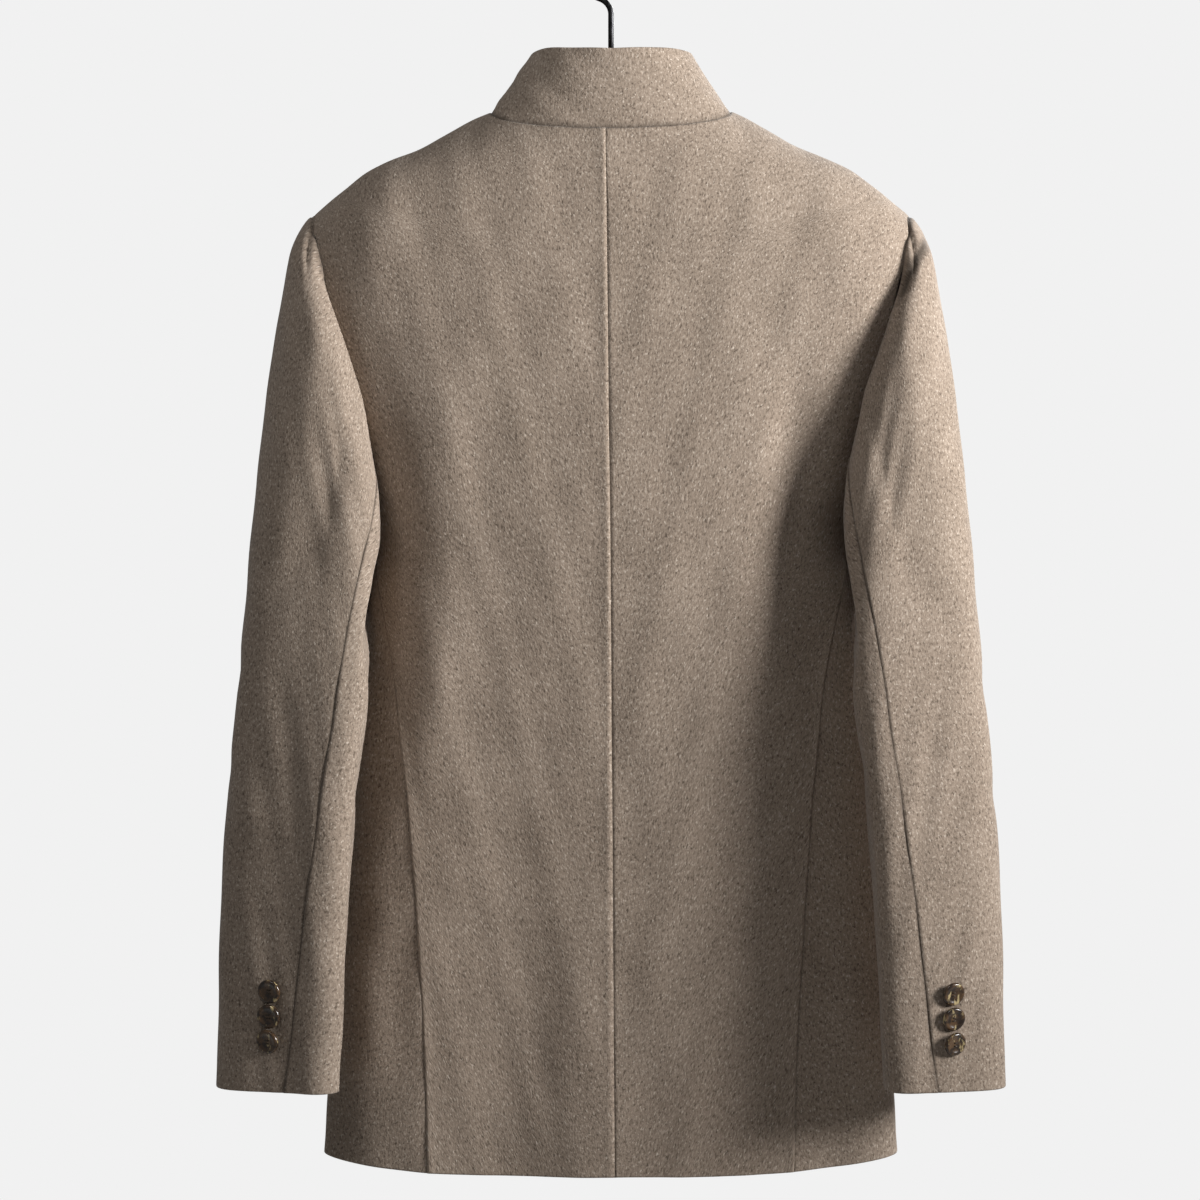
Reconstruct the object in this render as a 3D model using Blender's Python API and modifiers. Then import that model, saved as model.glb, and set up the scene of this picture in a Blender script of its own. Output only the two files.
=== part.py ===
"""A stand-collar wool jacket that hangs on a plain hanger.

Metres, +Z up. The origin lies under the crown of the hanger's hook, the jacket's front faces -Y and
+X is the wearer's left. Heights on the cloth are drops below the two neck points, where the shoulder
seams meet the collar. A turn round the body is 0 at the centre back, +90 degrees at the wearer's
left side and 180 at the centre front. A turn round a sleeve is 0 on its outer side, 90 at its back
and 180 at the underarm.
"""

import math
from collections.abc import Callable, Sequence
from typing import NamedTuple

import bmesh
import bpy
from mathutils import Vector
from mathutils.bvhtree import BVHTree

OBJECT_NAME = "stand_collar_wool_jacket"

# Driving dimensions
NECK_POINT_HEIGHT = -0.128
HEM_DROP = 0.7705
HEM_SIDE_RISE = 0.0128
HEM_RISE_START = 0.500
CUFF_DROP = 0.701
BACK_NECK_DROP = 0.018
FRONT_NECK_DROP = 0.075
NECK_CURVE_END = 0.280
ROW_END_POWER = 2.5
TIP_RISE = 0.060
TIP_RISE_END = 0.200
CLOTH_WALL = 0.0024
COLLAR_WALL = 0.0030
SEAM_GAP = 0.0003
ARMHOLE_GAP = 0.0010
FRONT_OVERLAP = 0.022
LAP_LIFT = CLOTH_WALL + 0.0007
LAP_RAMP_START = 0.085
LAP_RAMP_END = 0.032

# The armhole is an oval loop on the body
ARMHOLE_CENTRE_DROP = 0.1994
ARMHOLE_HALF_HEIGHT = 0.1230
ARMHOLE_BACK_TURN = 34.5
ARMHOLE_FRONT_TURN = 32.0
ARMHOLE_UPPER_FULLNESS = 0.25
ARMHOLE_POWER = 0.75
SIDE_BACK_START = 150.0
SIDE_FRONT_START = 210.0

# The two-piece sleeve
CAP_END_DROP = 0.430
FRONT_SLEEVE_SEAM = 270.0
SLEEVE_ROUNDNESS = 3.8

# The stand collar's upper edge
COLLAR_TOP_HALF_WIDTH = 0.0585
COLLAR_TOP_MIDDLE_Y = -0.0120
COLLAR_TOP_BACK_Y = 0.0360
COLLAR_TOP_FRONT_Y = -0.0750

# Buttons
CUFF_BUTTON_RADIUS = 0.0085
FRONT_BUTTON_RADIUS = 0.0112
BUTTON_THICKNESS_SHARE = 0.46
BUTTON_STEPS = 12
SEAT_RINGS = 2
FRONT_BUTTON_DROPS = (0.115, 0.215, 0.315, 0.415, 0.515)

# The hanger
WIRE_RADIUS = 0.0021
HOOK_INNER_RADIUS = 0.022
HOOK_BEND_RADIUS = 0.012
HOOK_END_ANGLE = 205.0
BAR_RADIUS = 0.0095
BAR_CLEARANCE = 0.0012
BAR_NECK_DROP = 0.001
BAR_END_DROP = 0.062

# Grid steps of the cloth walls
ARMHOLE_STEP = 10.0
SHOULDER_STEPS = 4
SEAM_STEPS = 9
PANEL_COLUMNS = 10
LAP_COLUMNS = 2
CAP_STEPS = 8
CAP_ROW_POWER = 1.8
FOREARM_STEPS = 8
COLLAR_STEPS = 3

# Steps along the hanger
TUBE_BEVEL_RESOLUTION = 2
BAR_STEPS = 7
BAR_ARCH_STEPS = 4
HOOK_BEND_STEPS = 4
HOOK_STEPS = 16

# Small steps over which a surface's normal is measured
TURN_STEP = 0.4
DROP_STEP = 0.0012
WAY_STEP = 0.004
RISE_STEP = 0.01

# Finish of the meshes
SHARP_ANGLE = 50.0
MERGE_DISTANCE = 0.00001


class BodySection(NamedTuple):
    """A level ring round the body, at a drop below the neck points."""

    drop: float
    half_width: float
    widest_y: float
    back_y: float
    front_y: float
    roundness: float


BODY = (
    BodySection(0.0000, 0.0870, -0.0060, 0.0450, -0.0450, 1.90),
    BodySection(0.0050, 0.0987, -0.0065, 0.0465, -0.0460, 1.92),
    BodySection(0.0270, 0.1398, -0.0090, 0.0525, -0.0500, 2.06),
    BodySection(0.0484, 0.1790, -0.0105, 0.0570, -0.0545, 2.24),
    BodySection(0.0620, 0.1995, -0.0113, 0.0595, -0.0575, 2.34),
    BodySection(0.0764, 0.2185, -0.0122, 0.0615, -0.0605, 2.42),
    BodySection(0.0940, 0.2330, -0.0130, 0.0632, -0.0640, 2.50),
    BodySection(0.1160, 0.2400, -0.0139, 0.0645, -0.0680, 2.56),
    BodySection(0.1400, 0.2385, -0.0150, 0.0655, -0.0715, 2.60),
    BodySection(0.2000, 0.2160, -0.0172, 0.0660, -0.0785, 2.66),
    BodySection(0.2600, 0.1915, -0.0198, 0.0645, -0.0835, 2.70),
    BodySection(0.3220, 0.1735, -0.0230, 0.0615, -0.0870, 2.70),
    BodySection(0.3600, 0.1785, -0.0240, 0.0585, -0.0885, 2.74),
    BodySection(0.4300, 0.1872, -0.0190, 0.0530, -0.0905, 2.90),
    BodySection(0.5000, 0.1908, -0.0090, 0.0480, -0.0920, 3.04),
    BodySection(0.6000, 0.1965, -0.0020, 0.0440, -0.0940, 3.14),
    BodySection(0.7000, 0.2035, 0.0020, 0.0420, -0.0960, 3.16),
    BodySection(0.7705, 0.2085, 0.0040, 0.0415, -0.0970, 3.16),
)


class BodyFold(NamedTuple):
    """A soft ridge, or a trough where the rise is below zero, that grows down the back or front."""

    on_back: bool
    top_x: float
    top_drop: float
    low_x: float
    low_drop: float
    spread: float
    rise: float


BODY_FOLDS = (
    BodyFold(True, 0.1180, 0.100, 0.1210, 0.300, 0.030, 0.0090),
    BodyFold(True, 0.1220, 0.360, 0.1250, 0.580, 0.030, -0.0060),
    BodyFold(True, 0.1560, 0.200, 0.1540, 0.380, 0.016, -0.0050),
    BodyFold(True, 0.1540, 0.380, 0.1500, 0.560, 0.018, 0.0050),
    BodyFold(True, 0.0600, 0.360, 0.0700, 0.740, 0.030, -0.0030),
    BodyFold(True, 0.0100, 0.360, 0.0200, 0.740, 0.032, 0.0040),
    BodyFold(True, -0.0450, 0.200, -0.0500, 0.560, 0.030, 0.0025),
    BodyFold(True, -0.1520, 0.220, -0.1540, 0.460, 0.018, -0.0050),
    BodyFold(False, 0.1000, 0.200, 0.1160, 0.740, 0.036, 0.0050),
    BodyFold(False, 0.0560, 0.300, 0.0620, 0.740, 0.026, -0.0035),
    BodyFold(False, -0.0520, 0.260, -0.0640, 0.740, 0.030, -0.0040),
    BodyFold(False, -0.1020, 0.180, -0.1120, 0.740, 0.034, 0.0050),
)


class SeamRow(NamedTuple):
    """How far a lengthwise seam of the body lies from the middle, at a drop."""

    drop: float
    x: float


CENTRE_BACK_SEAM = (
    SeamRow(0.018, 0.0040),
    SeamRow(0.360, 0.0005),
    SeamRow(0.771, -0.0025),
)
SIDE_BACK_SEAM = (
    SeamRow(0.331, 0.1683),
    SeamRow(0.372, 0.1608),
    SeamRow(0.423, 0.1521),
    SeamRow(0.500, 0.1450),
    SeamRow(0.576, 0.1399),
    SeamRow(0.679, 0.1341),
    SeamRow(0.771, 0.1313),
)
SIDE_FRONT_SEAM = (
    SeamRow(0.331, 0.1650),
    SeamRow(0.421, 0.1570),
    SeamRow(0.570, 0.1520),
    SeamRow(0.771, 0.1500),
)


class SleeveSection(NamedTuple):
    """A level, squared oval round the sleeve; the lean turns its back outwards."""

    drop: float
    centre_x: float
    centre_y: float
    half_width: float
    half_depth: float
    lean: float


SLEEVE = (
    SleeveSection(0.430, 0.2198, 0.0590, 0.0475, 0.0330, 14.0),
    SleeveSection(0.503, 0.2272, 0.0620, 0.0462, 0.0325, 14.0),
    SleeveSection(0.576, 0.2321, 0.0650, 0.0454, 0.0320, 14.0),
    SleeveSection(0.630, 0.2342, 0.0660, 0.0449, 0.0320, 14.0),
    SleeveSection(0.700, 0.2363, 0.0670, 0.0434, 0.0310, 14.0),
)


class SleeveLeave(NamedTuple):
    """The way the sleeve cap leaves the armhole, at a turn round it."""

    turn: float
    out: float
    back: float
    down: float
    pull: float
    settle: float


SLEEVE_LEAVES = (
    SleeveLeave(0.0, 0.74, 0.00, 0.67, 0.30, 1.0),
    SleeveLeave(90.0, -0.34, 0.92, 0.12, 0.75, 1.2),
    SleeveLeave(125.0, -0.42, 0.82, 0.35, 0.85, 1.2),
    SleeveLeave(152.0, 0.38, 0.78, 0.50, 0.70, 1.0),
    SleeveLeave(180.0, 0.64, 0.52, 0.56, 0.66, 1.0),
    SleeveLeave(270.0, 0.42, -0.10, 0.90, 0.40, 1.0),
    SleeveLeave(360.0, 0.74, 0.00, 0.67, 0.30, 1.0),
)


class SleeveSeamRow(NamedTuple):
    """The sleeve's back seam, as a turn round the sleeve at a drop."""

    drop: float
    turn: float


SLEEVE_BACK_SEAM = (
    SleeveSeamRow(0.200, 112.0),
    SleeveSeamRow(0.430, 109.0),
    SleeveSeamRow(0.503, 105.5),
    SleeveSeamRow(0.576, 100.0),
    SleeveSeamRow(0.630, 96.2),
    SleeveSeamRow(0.700, 92.1),
)


class CollarRow(NamedTuple):
    """The drop of the collar's upper edge, at a turn round the neck."""

    turn: float
    drop: float


COLLAR_TOP = (
    CollarRow(0.0, -0.0410),
    CollarRow(60.0, -0.0465),
    CollarRow(90.0, -0.0420),
    CollarRow(135.0, -0.0050),
    CollarRow(180.0, 0.0300),
)


class CuffButtonRow(NamedTuple):
    """A cuff button's drop on each sleeve, and its turn round the sleeve."""

    left_drop: float
    right_drop: float
    turn: float


CUFF_BUTTONS = (
    CuffButtonRow(0.6297, 0.6312, 89.4),
    CuffButtonRow(0.6472, 0.6487, 89.4),
    CuffButtonRow(0.6647, 0.6662, 89.4),
)


class ButtonRow(NamedTuple):
    """A corner of a button's half outline, as shares of its radius and of its thickness."""

    reach: float
    height: float


BUTTON_OUTLINE = (
    ButtonRow(0.00, 0.72),
    ButtonRow(0.55, 0.76),
    ButtonRow(0.80, 1.00),
    ButtonRow(0.95, 0.85),
    ButtonRow(1.00, 0.45),
    ButtonRow(0.80, 0.00),
    ButtonRow(0.00, 0.00),
)


class Finish(NamedTuple):
    """The plain finish of a sub-part: linear colour, roughness and metallic value."""

    colour: tuple[float, float, float]
    roughness: float
    metallic: float


WOOL = Finish((0.266, 0.209, 0.162), 0.95, 0.0)
HORN = Finish((0.060, 0.030, 0.014), 0.30, 0.0)
DARK_WOOD = Finish((0.050, 0.028, 0.018), 0.45, 0.0)
BLACK_STEEL = Finish((0.020, 0.020, 0.021), 0.35, 1.0)

Spot = tuple[Vector, Vector]
SurfacePoint = Callable[[float, float], Vector]


class Track:
    """A smooth curve through one column of a table that never overshoots its rows."""

    def __init__(self, rows: Sequence[NamedTuple], column: str, along: str = "drop") -> None:
        self.places = [getattr(row, along) for row in rows]
        self.values = [getattr(row, column) for row in rows]
        pairs = zip(self.places, self.places[1:], self.values, self.values[1:])
        rates = [(v1 - v0) / (p1 - p0) for p0, p1, v0, v1 in pairs]
        middle = [self.joint_slope(r0, r1) for r0, r1 in zip(rates, rates[1:])]
        self.slopes = [rates[0], *middle, rates[-1]]

    @staticmethod
    def joint_slope(before: float, after: float) -> float:
        """Return the slope at a row between two stretches: flat where they turn back."""
        if before * after <= 0.0:
            return 0.0
        return 2.0 * before * after / (before + after)

    def __call__(self, place: float) -> float:
        """Return the value at a place, held level past either end."""
        place = min(max(place, self.places[0]), self.places[-1])
        index = 0
        while index < len(self.places) - 2 and place > self.places[index + 1]:
            index += 1
        span = self.places[index + 1] - self.places[index]
        t = (place - self.places[index]) / span
        return hermite(
            t,
            self.values[index],
            self.slopes[index] * span,
            self.slopes[index + 1] * span,
            self.values[index + 1],
        )


def hermite(t, start, start_pull, end_pull, end):
    """Return the point at t on the cubic between two points with their end directions."""
    return (
        start * (2 * t**3 - 3 * t**2 + 1)
        + start_pull * (t**3 - 2 * t**2 + t)
        + end_pull * (t**3 - t**2)
        + end * (3 * t**2 - 2 * t**3)
    )


def signed_power(value: float, power: float) -> float:
    """Return the power of a value's size, with the value's sign."""
    return math.copysign(abs(value) ** power, value)


def ramp(start: float, end: float, value: float) -> float:
    """Return a soft step from 0 at start to 1 at end."""
    t = min(max((value - start) / (end - start), 0.0), 1.0)
    return t * t * (3.0 - 2.0 * t)


def blend(start: float, end: float, share: float) -> float:
    """Return the value that lies at a share of the way from start to end."""
    return start + (end - start) * share


def evenly(start: float, end: float, steps: int) -> list[float]:
    """Return steps + 1 evenly spaced values from start to end."""
    return [blend(start, end, step / steps) for step in range(steps + 1)]


half_width_at = Track(BODY, "half_width")
widest_y_at = Track(BODY, "widest_y")
back_y_at = Track(BODY, "back_y")
front_y_at = Track(BODY, "front_y")
roundness_at = Track(BODY, "roundness")
sleeve_at = {column: Track(SLEEVE, column) for column in SleeveSection._fields[1:]}
leave_at = {column: Track(SLEEVE_LEAVES, column, "turn") for column in SleeveLeave._fields[1:]}
sleeve_back_seam_at = Track(SLEEVE_BACK_SEAM, "turn")
collar_top_at = Track(COLLAR_TOP, "drop", "turn")
centre_back_x_at = Track(CENTRE_BACK_SEAM, "x")


def fold_height(x: float, drop: float, on_back: bool) -> float:
    """Return how far the folds lift the back or the front at a place."""
    height = 0.0
    for fold in BODY_FOLDS:
        if fold.on_back == on_back:
            growth = ramp(fold.top_drop, fold.low_drop, drop)
            middle = blend(fold.top_x, fold.low_x, (drop - fold.top_drop) / (fold.low_drop - fold.top_drop))
            height += fold.rise * growth * math.exp(-(((x - middle) / fold.spread) ** 2))
    return height


def body_point(turn: float, drop: float) -> Vector:
    """Return the point on the outside of the body at a turn in degrees and a drop."""
    sine = math.sin(math.radians(turn))
    cosine = math.cos(math.radians(turn))
    power = 2.0 / roundness_at(drop)
    on_back = cosine >= 0.0
    x = half_width_at(drop) * math.copysign(abs(sine) ** power, sine)
    farthest_y = back_y_at(drop) if on_back else front_y_at(drop)
    outward = 1.0 if on_back else -1.0
    farthest_y += outward * fold_height(x, drop, on_back)
    y = blend(widest_y_at(drop), farthest_y, abs(cosine) ** power)
    rise = HEM_SIDE_RISE * sine**2 * ramp(HEM_RISE_START, HEM_DROP, drop)
    return Vector((x, y, NECK_POINT_HEIGHT - drop + rise))


def body_turn(x: float, drop: float) -> float:
    """Return the turn from the centre back at which the body reaches out to x."""
    share = min(abs(x) / half_width_at(drop), 1.0)
    turn = math.degrees(math.asin(share ** (roundness_at(drop) / 2.0)))
    return math.copysign(turn, x)


def facing(point: SurfacePoint, first: float, second: float, first_step: float, second_step: float) -> Vector:
    """Return the unit normal of a surface from small steps along its two directions."""
    along_first = point(first + first_step, second) - point(first - first_step, second)
    along_second = point(first, second + second_step) - point(first, second - second_step)
    return along_first.cross(along_second).normalized()


def body_spot(turn: float, drop: float) -> Spot:
    """Return the body's point and outward normal."""
    return body_point(turn, drop), facing(body_point, turn, drop, TURN_STEP, DROP_STEP)


def armhole(turn: float) -> tuple[float, float]:
    """Return the turn round the body and the drop of a place on the armhole's loop."""
    angle = math.radians(turn)
    drop = ARMHOLE_CENTRE_DROP - ARMHOLE_HALF_HEIGHT * math.cos(angle)
    sine = math.sin(angle)
    reach = math.copysign(abs(sine) ** ARMHOLE_POWER, sine)
    reach *= 1.0 + ARMHOLE_UPPER_FULLNESS * math.cos(angle)
    reach *= ARMHOLE_BACK_TURN if turn <= 180.0 else ARMHOLE_FRONT_TURN
    return 90.0 - reach, drop


def armhole_steps(start: float, end: float) -> int:
    """Return how many grid steps cover a stretch of the armhole, the same for the body and the sleeve."""
    return round(abs(end - start) / ARMHOLE_STEP)


def side_seam(rows: Sequence[SeamRow], start_turn: float) -> Track:
    """Return the x of a side seam by drop, started on the armhole."""
    turn, drop = armhole(start_turn)
    start = SeamRow(drop, body_point(turn, drop).x)
    return Track((start, *rows), "x")


side_back_x_at = side_seam(SIDE_BACK_SEAM, SIDE_BACK_START)
side_front_x_at = side_seam(SIDE_FRONT_SEAM, SIDE_FRONT_START)


def side_back_turn(drop: float) -> float:
    """Return the turn of the seam between the back and the side."""
    return body_turn(side_back_x_at(drop), drop)


def side_front_turn(drop: float) -> float:
    """Return the turn of the seam between the side and the front."""
    return 180.0 - body_turn(side_front_x_at(drop), drop)


def outer_edge(on_back: bool) -> list[tuple[float, float]]:
    """Return each row's outer end as its turn from the panel's middle and its drop.

    The rows end on the shoulder seam first, then on the armhole and then on the side seam.
    """
    edge = [(90.0, drop) for drop in evenly(0.0, armhole(0.0)[1], SHOULDER_STEPS)]
    start, end = (0.0, SIDE_BACK_START) if on_back else (360.0, SIDE_FRONT_START)
    edge += [armhole(turn) for turn in evenly(start, end, armhole_steps(start, end))[1:]]
    seam_turn = side_back_turn if on_back else side_front_turn
    edge += [(seam_turn(drop), drop) for drop in evenly(edge[-1][1], HEM_DROP, SEAM_STEPS)[1:]]
    if on_back:
        return edge
    return [(180.0 - turn, drop) for turn, drop in edge]


def row_place(edge: tuple[float, float], neck_drop: float, share: float) -> tuple[float, float]:
    """Return the turn from a panel's middle and the drop, at a share of the way out along a row.

    The first row is the round neckline. The next ones straighten down to the shoulder tip, and rise a
    little before their outer ends, so that they meet the armhole at an open angle.
    """
    spread, edge_drop = edge
    tip_drop = armhole(0.0)[1]
    settled = ramp(0.0, tip_drop, edge_drop)
    inward = 1.0 - share**2
    neck_turn = body_turn(half_width_at(0.0) * math.sin(math.radians(90.0 * share)), neck_drop * inward)
    depth = neck_drop * max(1.0 - edge_drop / NECK_CURVE_END, 0.0)
    sag = depth * inward ** blend(1.0, ROW_END_POWER, settled)
    nearness = settled * (1.0 - ramp(tip_drop, TIP_RISE_END, edge_drop))
    rise = TIP_RISE * nearness * share**2 * (1.0 - abs(share))
    return blend(neck_turn, spread * share, settled), edge_drop + sag - rise


def back_spot(side: int, edge: tuple[float, float], share: float) -> Spot:
    """Return the spot at a share of the way along a back's row."""
    turn, drop = row_place(edge, BACK_NECK_DROP, share)
    lean = body_turn(centre_back_x_at(drop), drop) * (1.0 - share)
    return body_spot(side * turn + lean, drop)


def front_spot(side: int, turn: float, drop: float) -> Spot:
    """Return the spot at a turn from the centre front; the left front lies on top of the right one."""
    point, normal = body_spot(side * (180.0 - turn), drop)
    if side > 0:
        point = point + normal * LAP_LIFT * ramp(LAP_RAMP_START, LAP_RAMP_END, point.x)
    return point, normal


def back_grid(side: int) -> list[list[Spot]]:
    """Return the rows of a back panel, each from the centre back seam outwards."""
    shares = evenly(0.0, 1.0, PANEL_COLUMNS)
    return [[back_spot(side, edge, share) for share in shares] for edge in outer_edge(on_back=True)]


def front_grid(side: int) -> list[list[Spot]]:
    """Return the rows of a front panel, each from its lapped edge outwards."""
    grid = []
    for edge in outer_edge(on_back=False):
        places = [row_place(edge, FRONT_NECK_DROP, share) for share in evenly(0.0, 1.0, PANEL_COLUMNS)]
        middle_drop = places[0][1]
        reaches = evenly(FRONT_OVERLAP, 0.0, LAP_COLUMNS)[:-1]
        lap = [(-body_turn(reach, middle_drop), middle_drop) for reach in reaches]
        grid.append([front_spot(side, turn, drop) for turn, drop in lap + places])
    return grid


def side_grid(side: int) -> list[list[Spot]]:
    """Return the rows of a side body, each from the side back seam to the side front seam."""
    columns = []
    steps = armhole_steps(SIDE_BACK_START, SIDE_FRONT_START)
    for start_turn in evenly(SIDE_BACK_START, SIDE_FRONT_START, steps):
        top_turn, top_drop = armhole(start_turn)
        top_back = side_back_turn(top_drop)
        share = (top_turn - top_back) / (side_front_turn(top_drop) - top_back)
        column = []
        for drop in evenly(top_drop, HEM_DROP, SEAM_STEPS):
            turn = blend(side_back_turn(drop), side_front_turn(drop), share)
            column.append(body_spot(side * turn, drop))
        columns.append(column)
    return [list(row) for row in zip(*columns)]


def oval_point(side: int, turn: float, drop: float) -> Vector:
    """Return the point on the outside of the sleeve, below its cap."""
    sine = math.sin(math.radians(turn))
    cosine = math.cos(math.radians(turn))
    lean = math.tan(math.radians(sleeve_at["lean"](drop)))
    reach = sleeve_at["half_width"](drop) * signed_power(cosine, 2.0 / SLEEVE_ROUNDNESS)
    depth = sleeve_at["half_depth"](drop) * signed_power(sine, 2.0 / SLEEVE_ROUNDNESS)
    x = sleeve_at["centre_x"](drop) + reach
    y = sleeve_at["centre_y"](drop) - reach * lean + depth
    return Vector((side * x, y, NECK_POINT_HEIGHT - drop))


def cap_point(side: int, turn: float, share: float) -> Vector:
    """Return the point on the sleeve cap, at a share of the way from the armhole to the full oval."""
    around = turn % 360.0
    body_turn_here, drop = armhole(around)
    out, back, down, pull, settle = (leave_at[column](around) for column in SleeveLeave._fields[1:])
    leave = Vector((side * out, back, -down)).normalized()
    start = body_point(side * body_turn_here, drop) + leave * ARMHOLE_GAP
    end = oval_point(side, around, CAP_END_DROP)
    length = (end - start).length
    end_rate = (oval_point(side, around, CAP_END_DROP + DROP_STEP) - end) / DROP_STEP
    return hermite(share, start, leave * pull * length, end_rate * settle * length, end)


def sleeve_point(side: int, turn: float, way: float) -> Vector:
    """Return the point on the sleeve; the way is 0 to 1 down the cap and 1 to 2 down to the cuff."""
    if way <= 1.0:
        return cap_point(side, turn, way)
    return oval_point(side, turn % 360.0, blend(CAP_END_DROP, CUFF_DROP, way - 1.0))


def sleeve_spot(side: int, turn: float, way: float) -> Spot:
    """Return the sleeve's point and outward normal."""
    inside_way = max(way, 2.0 * WAY_STEP)

    def point(around: float, down: float) -> Vector:
        return sleeve_point(side, around, down)

    return point(turn, way), facing(point, turn, inside_way, TURN_STEP, WAY_STEP) * -side


def back_seam_turn(way: float) -> float:
    """Return the turn of the sleeve's back seam at a way down the sleeve."""
    if way > 1.0:
        return sleeve_back_seam_at(blend(CAP_END_DROP, CUFF_DROP, way - 1.0))
    start, end = SLEEVE_BACK_SEAM[0].turn, sleeve_back_seam_at(CAP_END_DROP)
    return blend(start, end, way)


def sleeve_ways() -> list[float]:
    """Return the grid rows down a sleeve, closest together where the cap rolls over the armhole."""
    cap = [share**CAP_ROW_POWER for share in evenly(0.0, 1.0, CAP_STEPS)]
    return cap + evenly(1.0, 2.0, FOREARM_STEPS)[1:]


def upper_sleeve_grid(side: int) -> list[list[Spot]]:
    """Return the rows of an upper sleeve, from its front seam over the outer side to its back seam."""
    start = FRONT_SLEEVE_SEAM - 360.0
    steps = armhole_steps(start, back_seam_turn(0.0))
    return [
        [sleeve_spot(side, turn, way) for turn in evenly(start, back_seam_turn(way), steps)]
        for way in sleeve_ways()
    ]


def under_sleeve_grid(side: int) -> list[list[Spot]]:
    """Return the rows of an under sleeve, from its back seam under the arm to its front seam."""
    steps = armhole_steps(back_seam_turn(0.0), FRONT_SLEEVE_SEAM)
    return [
        [sleeve_spot(side, turn, way) for turn in evenly(back_seam_turn(way), FRONT_SLEEVE_SEAM, steps)]
        for way in sleeve_ways()
    ]


def neckline_point(turn: float) -> Vector:
    """Return the point of the neckline at a turn round the neck."""
    side = 1 if turn >= 0.0 else -1
    neck_point = (90.0, 0.0)
    if abs(turn) <= 90.0:
        return back_spot(side, neck_point, abs(turn) / 90.0)[0]
    front_turn, drop = row_place(neck_point, FRONT_NECK_DROP, (180.0 - abs(turn)) / 90.0)
    return body_point(side * (180.0 - front_turn), drop)


def collar_point(turn: float, rise: float) -> Vector:
    """Return the point on the outside of the collar, at a share of the way up from the neckline."""
    base = neckline_point(turn) + Vector((0.0, 0.0, SEAM_GAP))
    sine = math.sin(math.radians(turn))
    cosine = math.cos(math.radians(turn))
    far_y = COLLAR_TOP_BACK_Y if cosine >= 0.0 else COLLAR_TOP_FRONT_Y
    top_x = COLLAR_TOP_HALF_WIDTH * sine
    top_y = blend(COLLAR_TOP_MIDDLE_Y, far_y, abs(cosine))
    top = Vector((top_x, top_y, NECK_POINT_HEIGHT - collar_top_at(abs(turn))))
    return base.lerp(top, rise)


def collar_spot(turn: float, rise: float) -> Spot:
    """Return the collar's point and outward normal."""
    return collar_point(turn, rise), -facing(collar_point, turn, rise, TURN_STEP / 2.0, RISE_STEP)


def collar_grid() -> list[list[Spot]]:
    """Return the rows of the collar, from the neckline up; its columns meet those of the panels."""
    end_turn = 180.0 - math.degrees(SEAM_GAP / COLLAR_TOP_HALF_WIDTH)
    turns = evenly(-180.0, 180.0, 4 * PANEL_COLUMNS)
    turns[0], turns[-1] = -end_turn, end_turn
    return [[collar_spot(turn, rise) for turn in turns] for rise in evenly(0.0, 1.0, COLLAR_STEPS)]


def edge_inset(before: Spot, spot: Spot, after: Spot, inner: Spot, distance: float) -> Spot:
    """Return an edge spot drawn in square to its edge, along the surface."""
    point, normal = spot
    inward = normal.cross(after[0] - before[0]).normalized()
    if inward.dot(inner[0] - point) < 0.0:
        inward = -inward
    return point + inward * distance, normal


def drawn_in(grid: list[list[Spot]], distance: float) -> list[list[Spot]]:
    """Return the grid with its top and side edges drawn in, to part it from its neighbours."""
    rows = [list(row) for row in grid]
    last = len(grid) - 1
    for index, row in enumerate(grid):
        above = grid[max(index - 1, 0)]
        below = grid[min(index + 1, last)]
        rows[index][0] = edge_inset(above[0], row[0], below[0], row[1], distance)
        rows[index][-1] = edge_inset(above[-1], row[-1], below[-1], row[-2], distance)
    top = list(rows[0])
    for index, spot in enumerate(top):
        before = top[max(index - 1, 0)]
        after = top[min(index + 1, len(top) - 1)]
        rows[0][index] = edge_inset(before, spot, after, rows[1][index], distance)
    return rows


def make_material(name: str, finish: Finish) -> bpy.types.Material:
    """Return a Principled material of one plain finish."""
    material = bpy.data.materials.new(name)
    material.use_nodes = True
    shader = material.node_tree.nodes["Principled BSDF"]
    shader.inputs["Base Color"].default_value = (*finish.colour, 1.0)
    shader.inputs["Roughness"].default_value = finish.roughness
    shader.inputs["Metallic"].default_value = finish.metallic
    material.diffuse_color = (*finish.colour, 1.0)
    return material


def add_part(name: str, data: bpy.types.ID, finish: Finish) -> bpy.types.Object:
    """Link a sub-part to the jacket's collection, with a material of its own."""
    part = bpy.data.objects.new(name, data)
    data.materials.append(make_material(f"{name}_finish", finish))
    bpy.data.collections[OBJECT_NAME].objects.link(part)
    return part


def add_wall(name: str, grid: list[list[Spot]], wall: float) -> bpy.types.Object:
    """Make a cloth wall: a grid on the inner face, extruded to the outer face."""
    columns = len(grid[0])
    spots = [spot for row in grid for spot in row]
    sheet = bmesh.new()
    place = sheet.verts.layers.int.new("place")
    bmesh.ops.create_grid(sheet, x_segments=columns - 1, y_segments=len(grid) - 1, size=0.5)
    sheet.verts.ensure_lookup_table()
    for index, vertex in enumerate(sheet.verts):
        point, normal = spots[index]
        vertex.co = point - normal * wall
        vertex[place] = index
    extruded = bmesh.ops.extrude_face_region(sheet, geom=sheet.faces[:])
    for vertex in extruded["geom"]:
        if isinstance(vertex, bmesh.types.BMVert):
            vertex.co = spots[vertex[place]][0]
    bmesh.ops.recalc_face_normals(sheet, faces=sheet.faces[:])
    mesh = bpy.data.meshes.new(name)
    sheet.to_mesh(mesh)
    sheet.free()
    mesh.shade_smooth()
    mesh.set_sharp_from_angle(angle=math.radians(SHARP_ANGLE))
    return add_part(name, mesh, WOOL)


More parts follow.
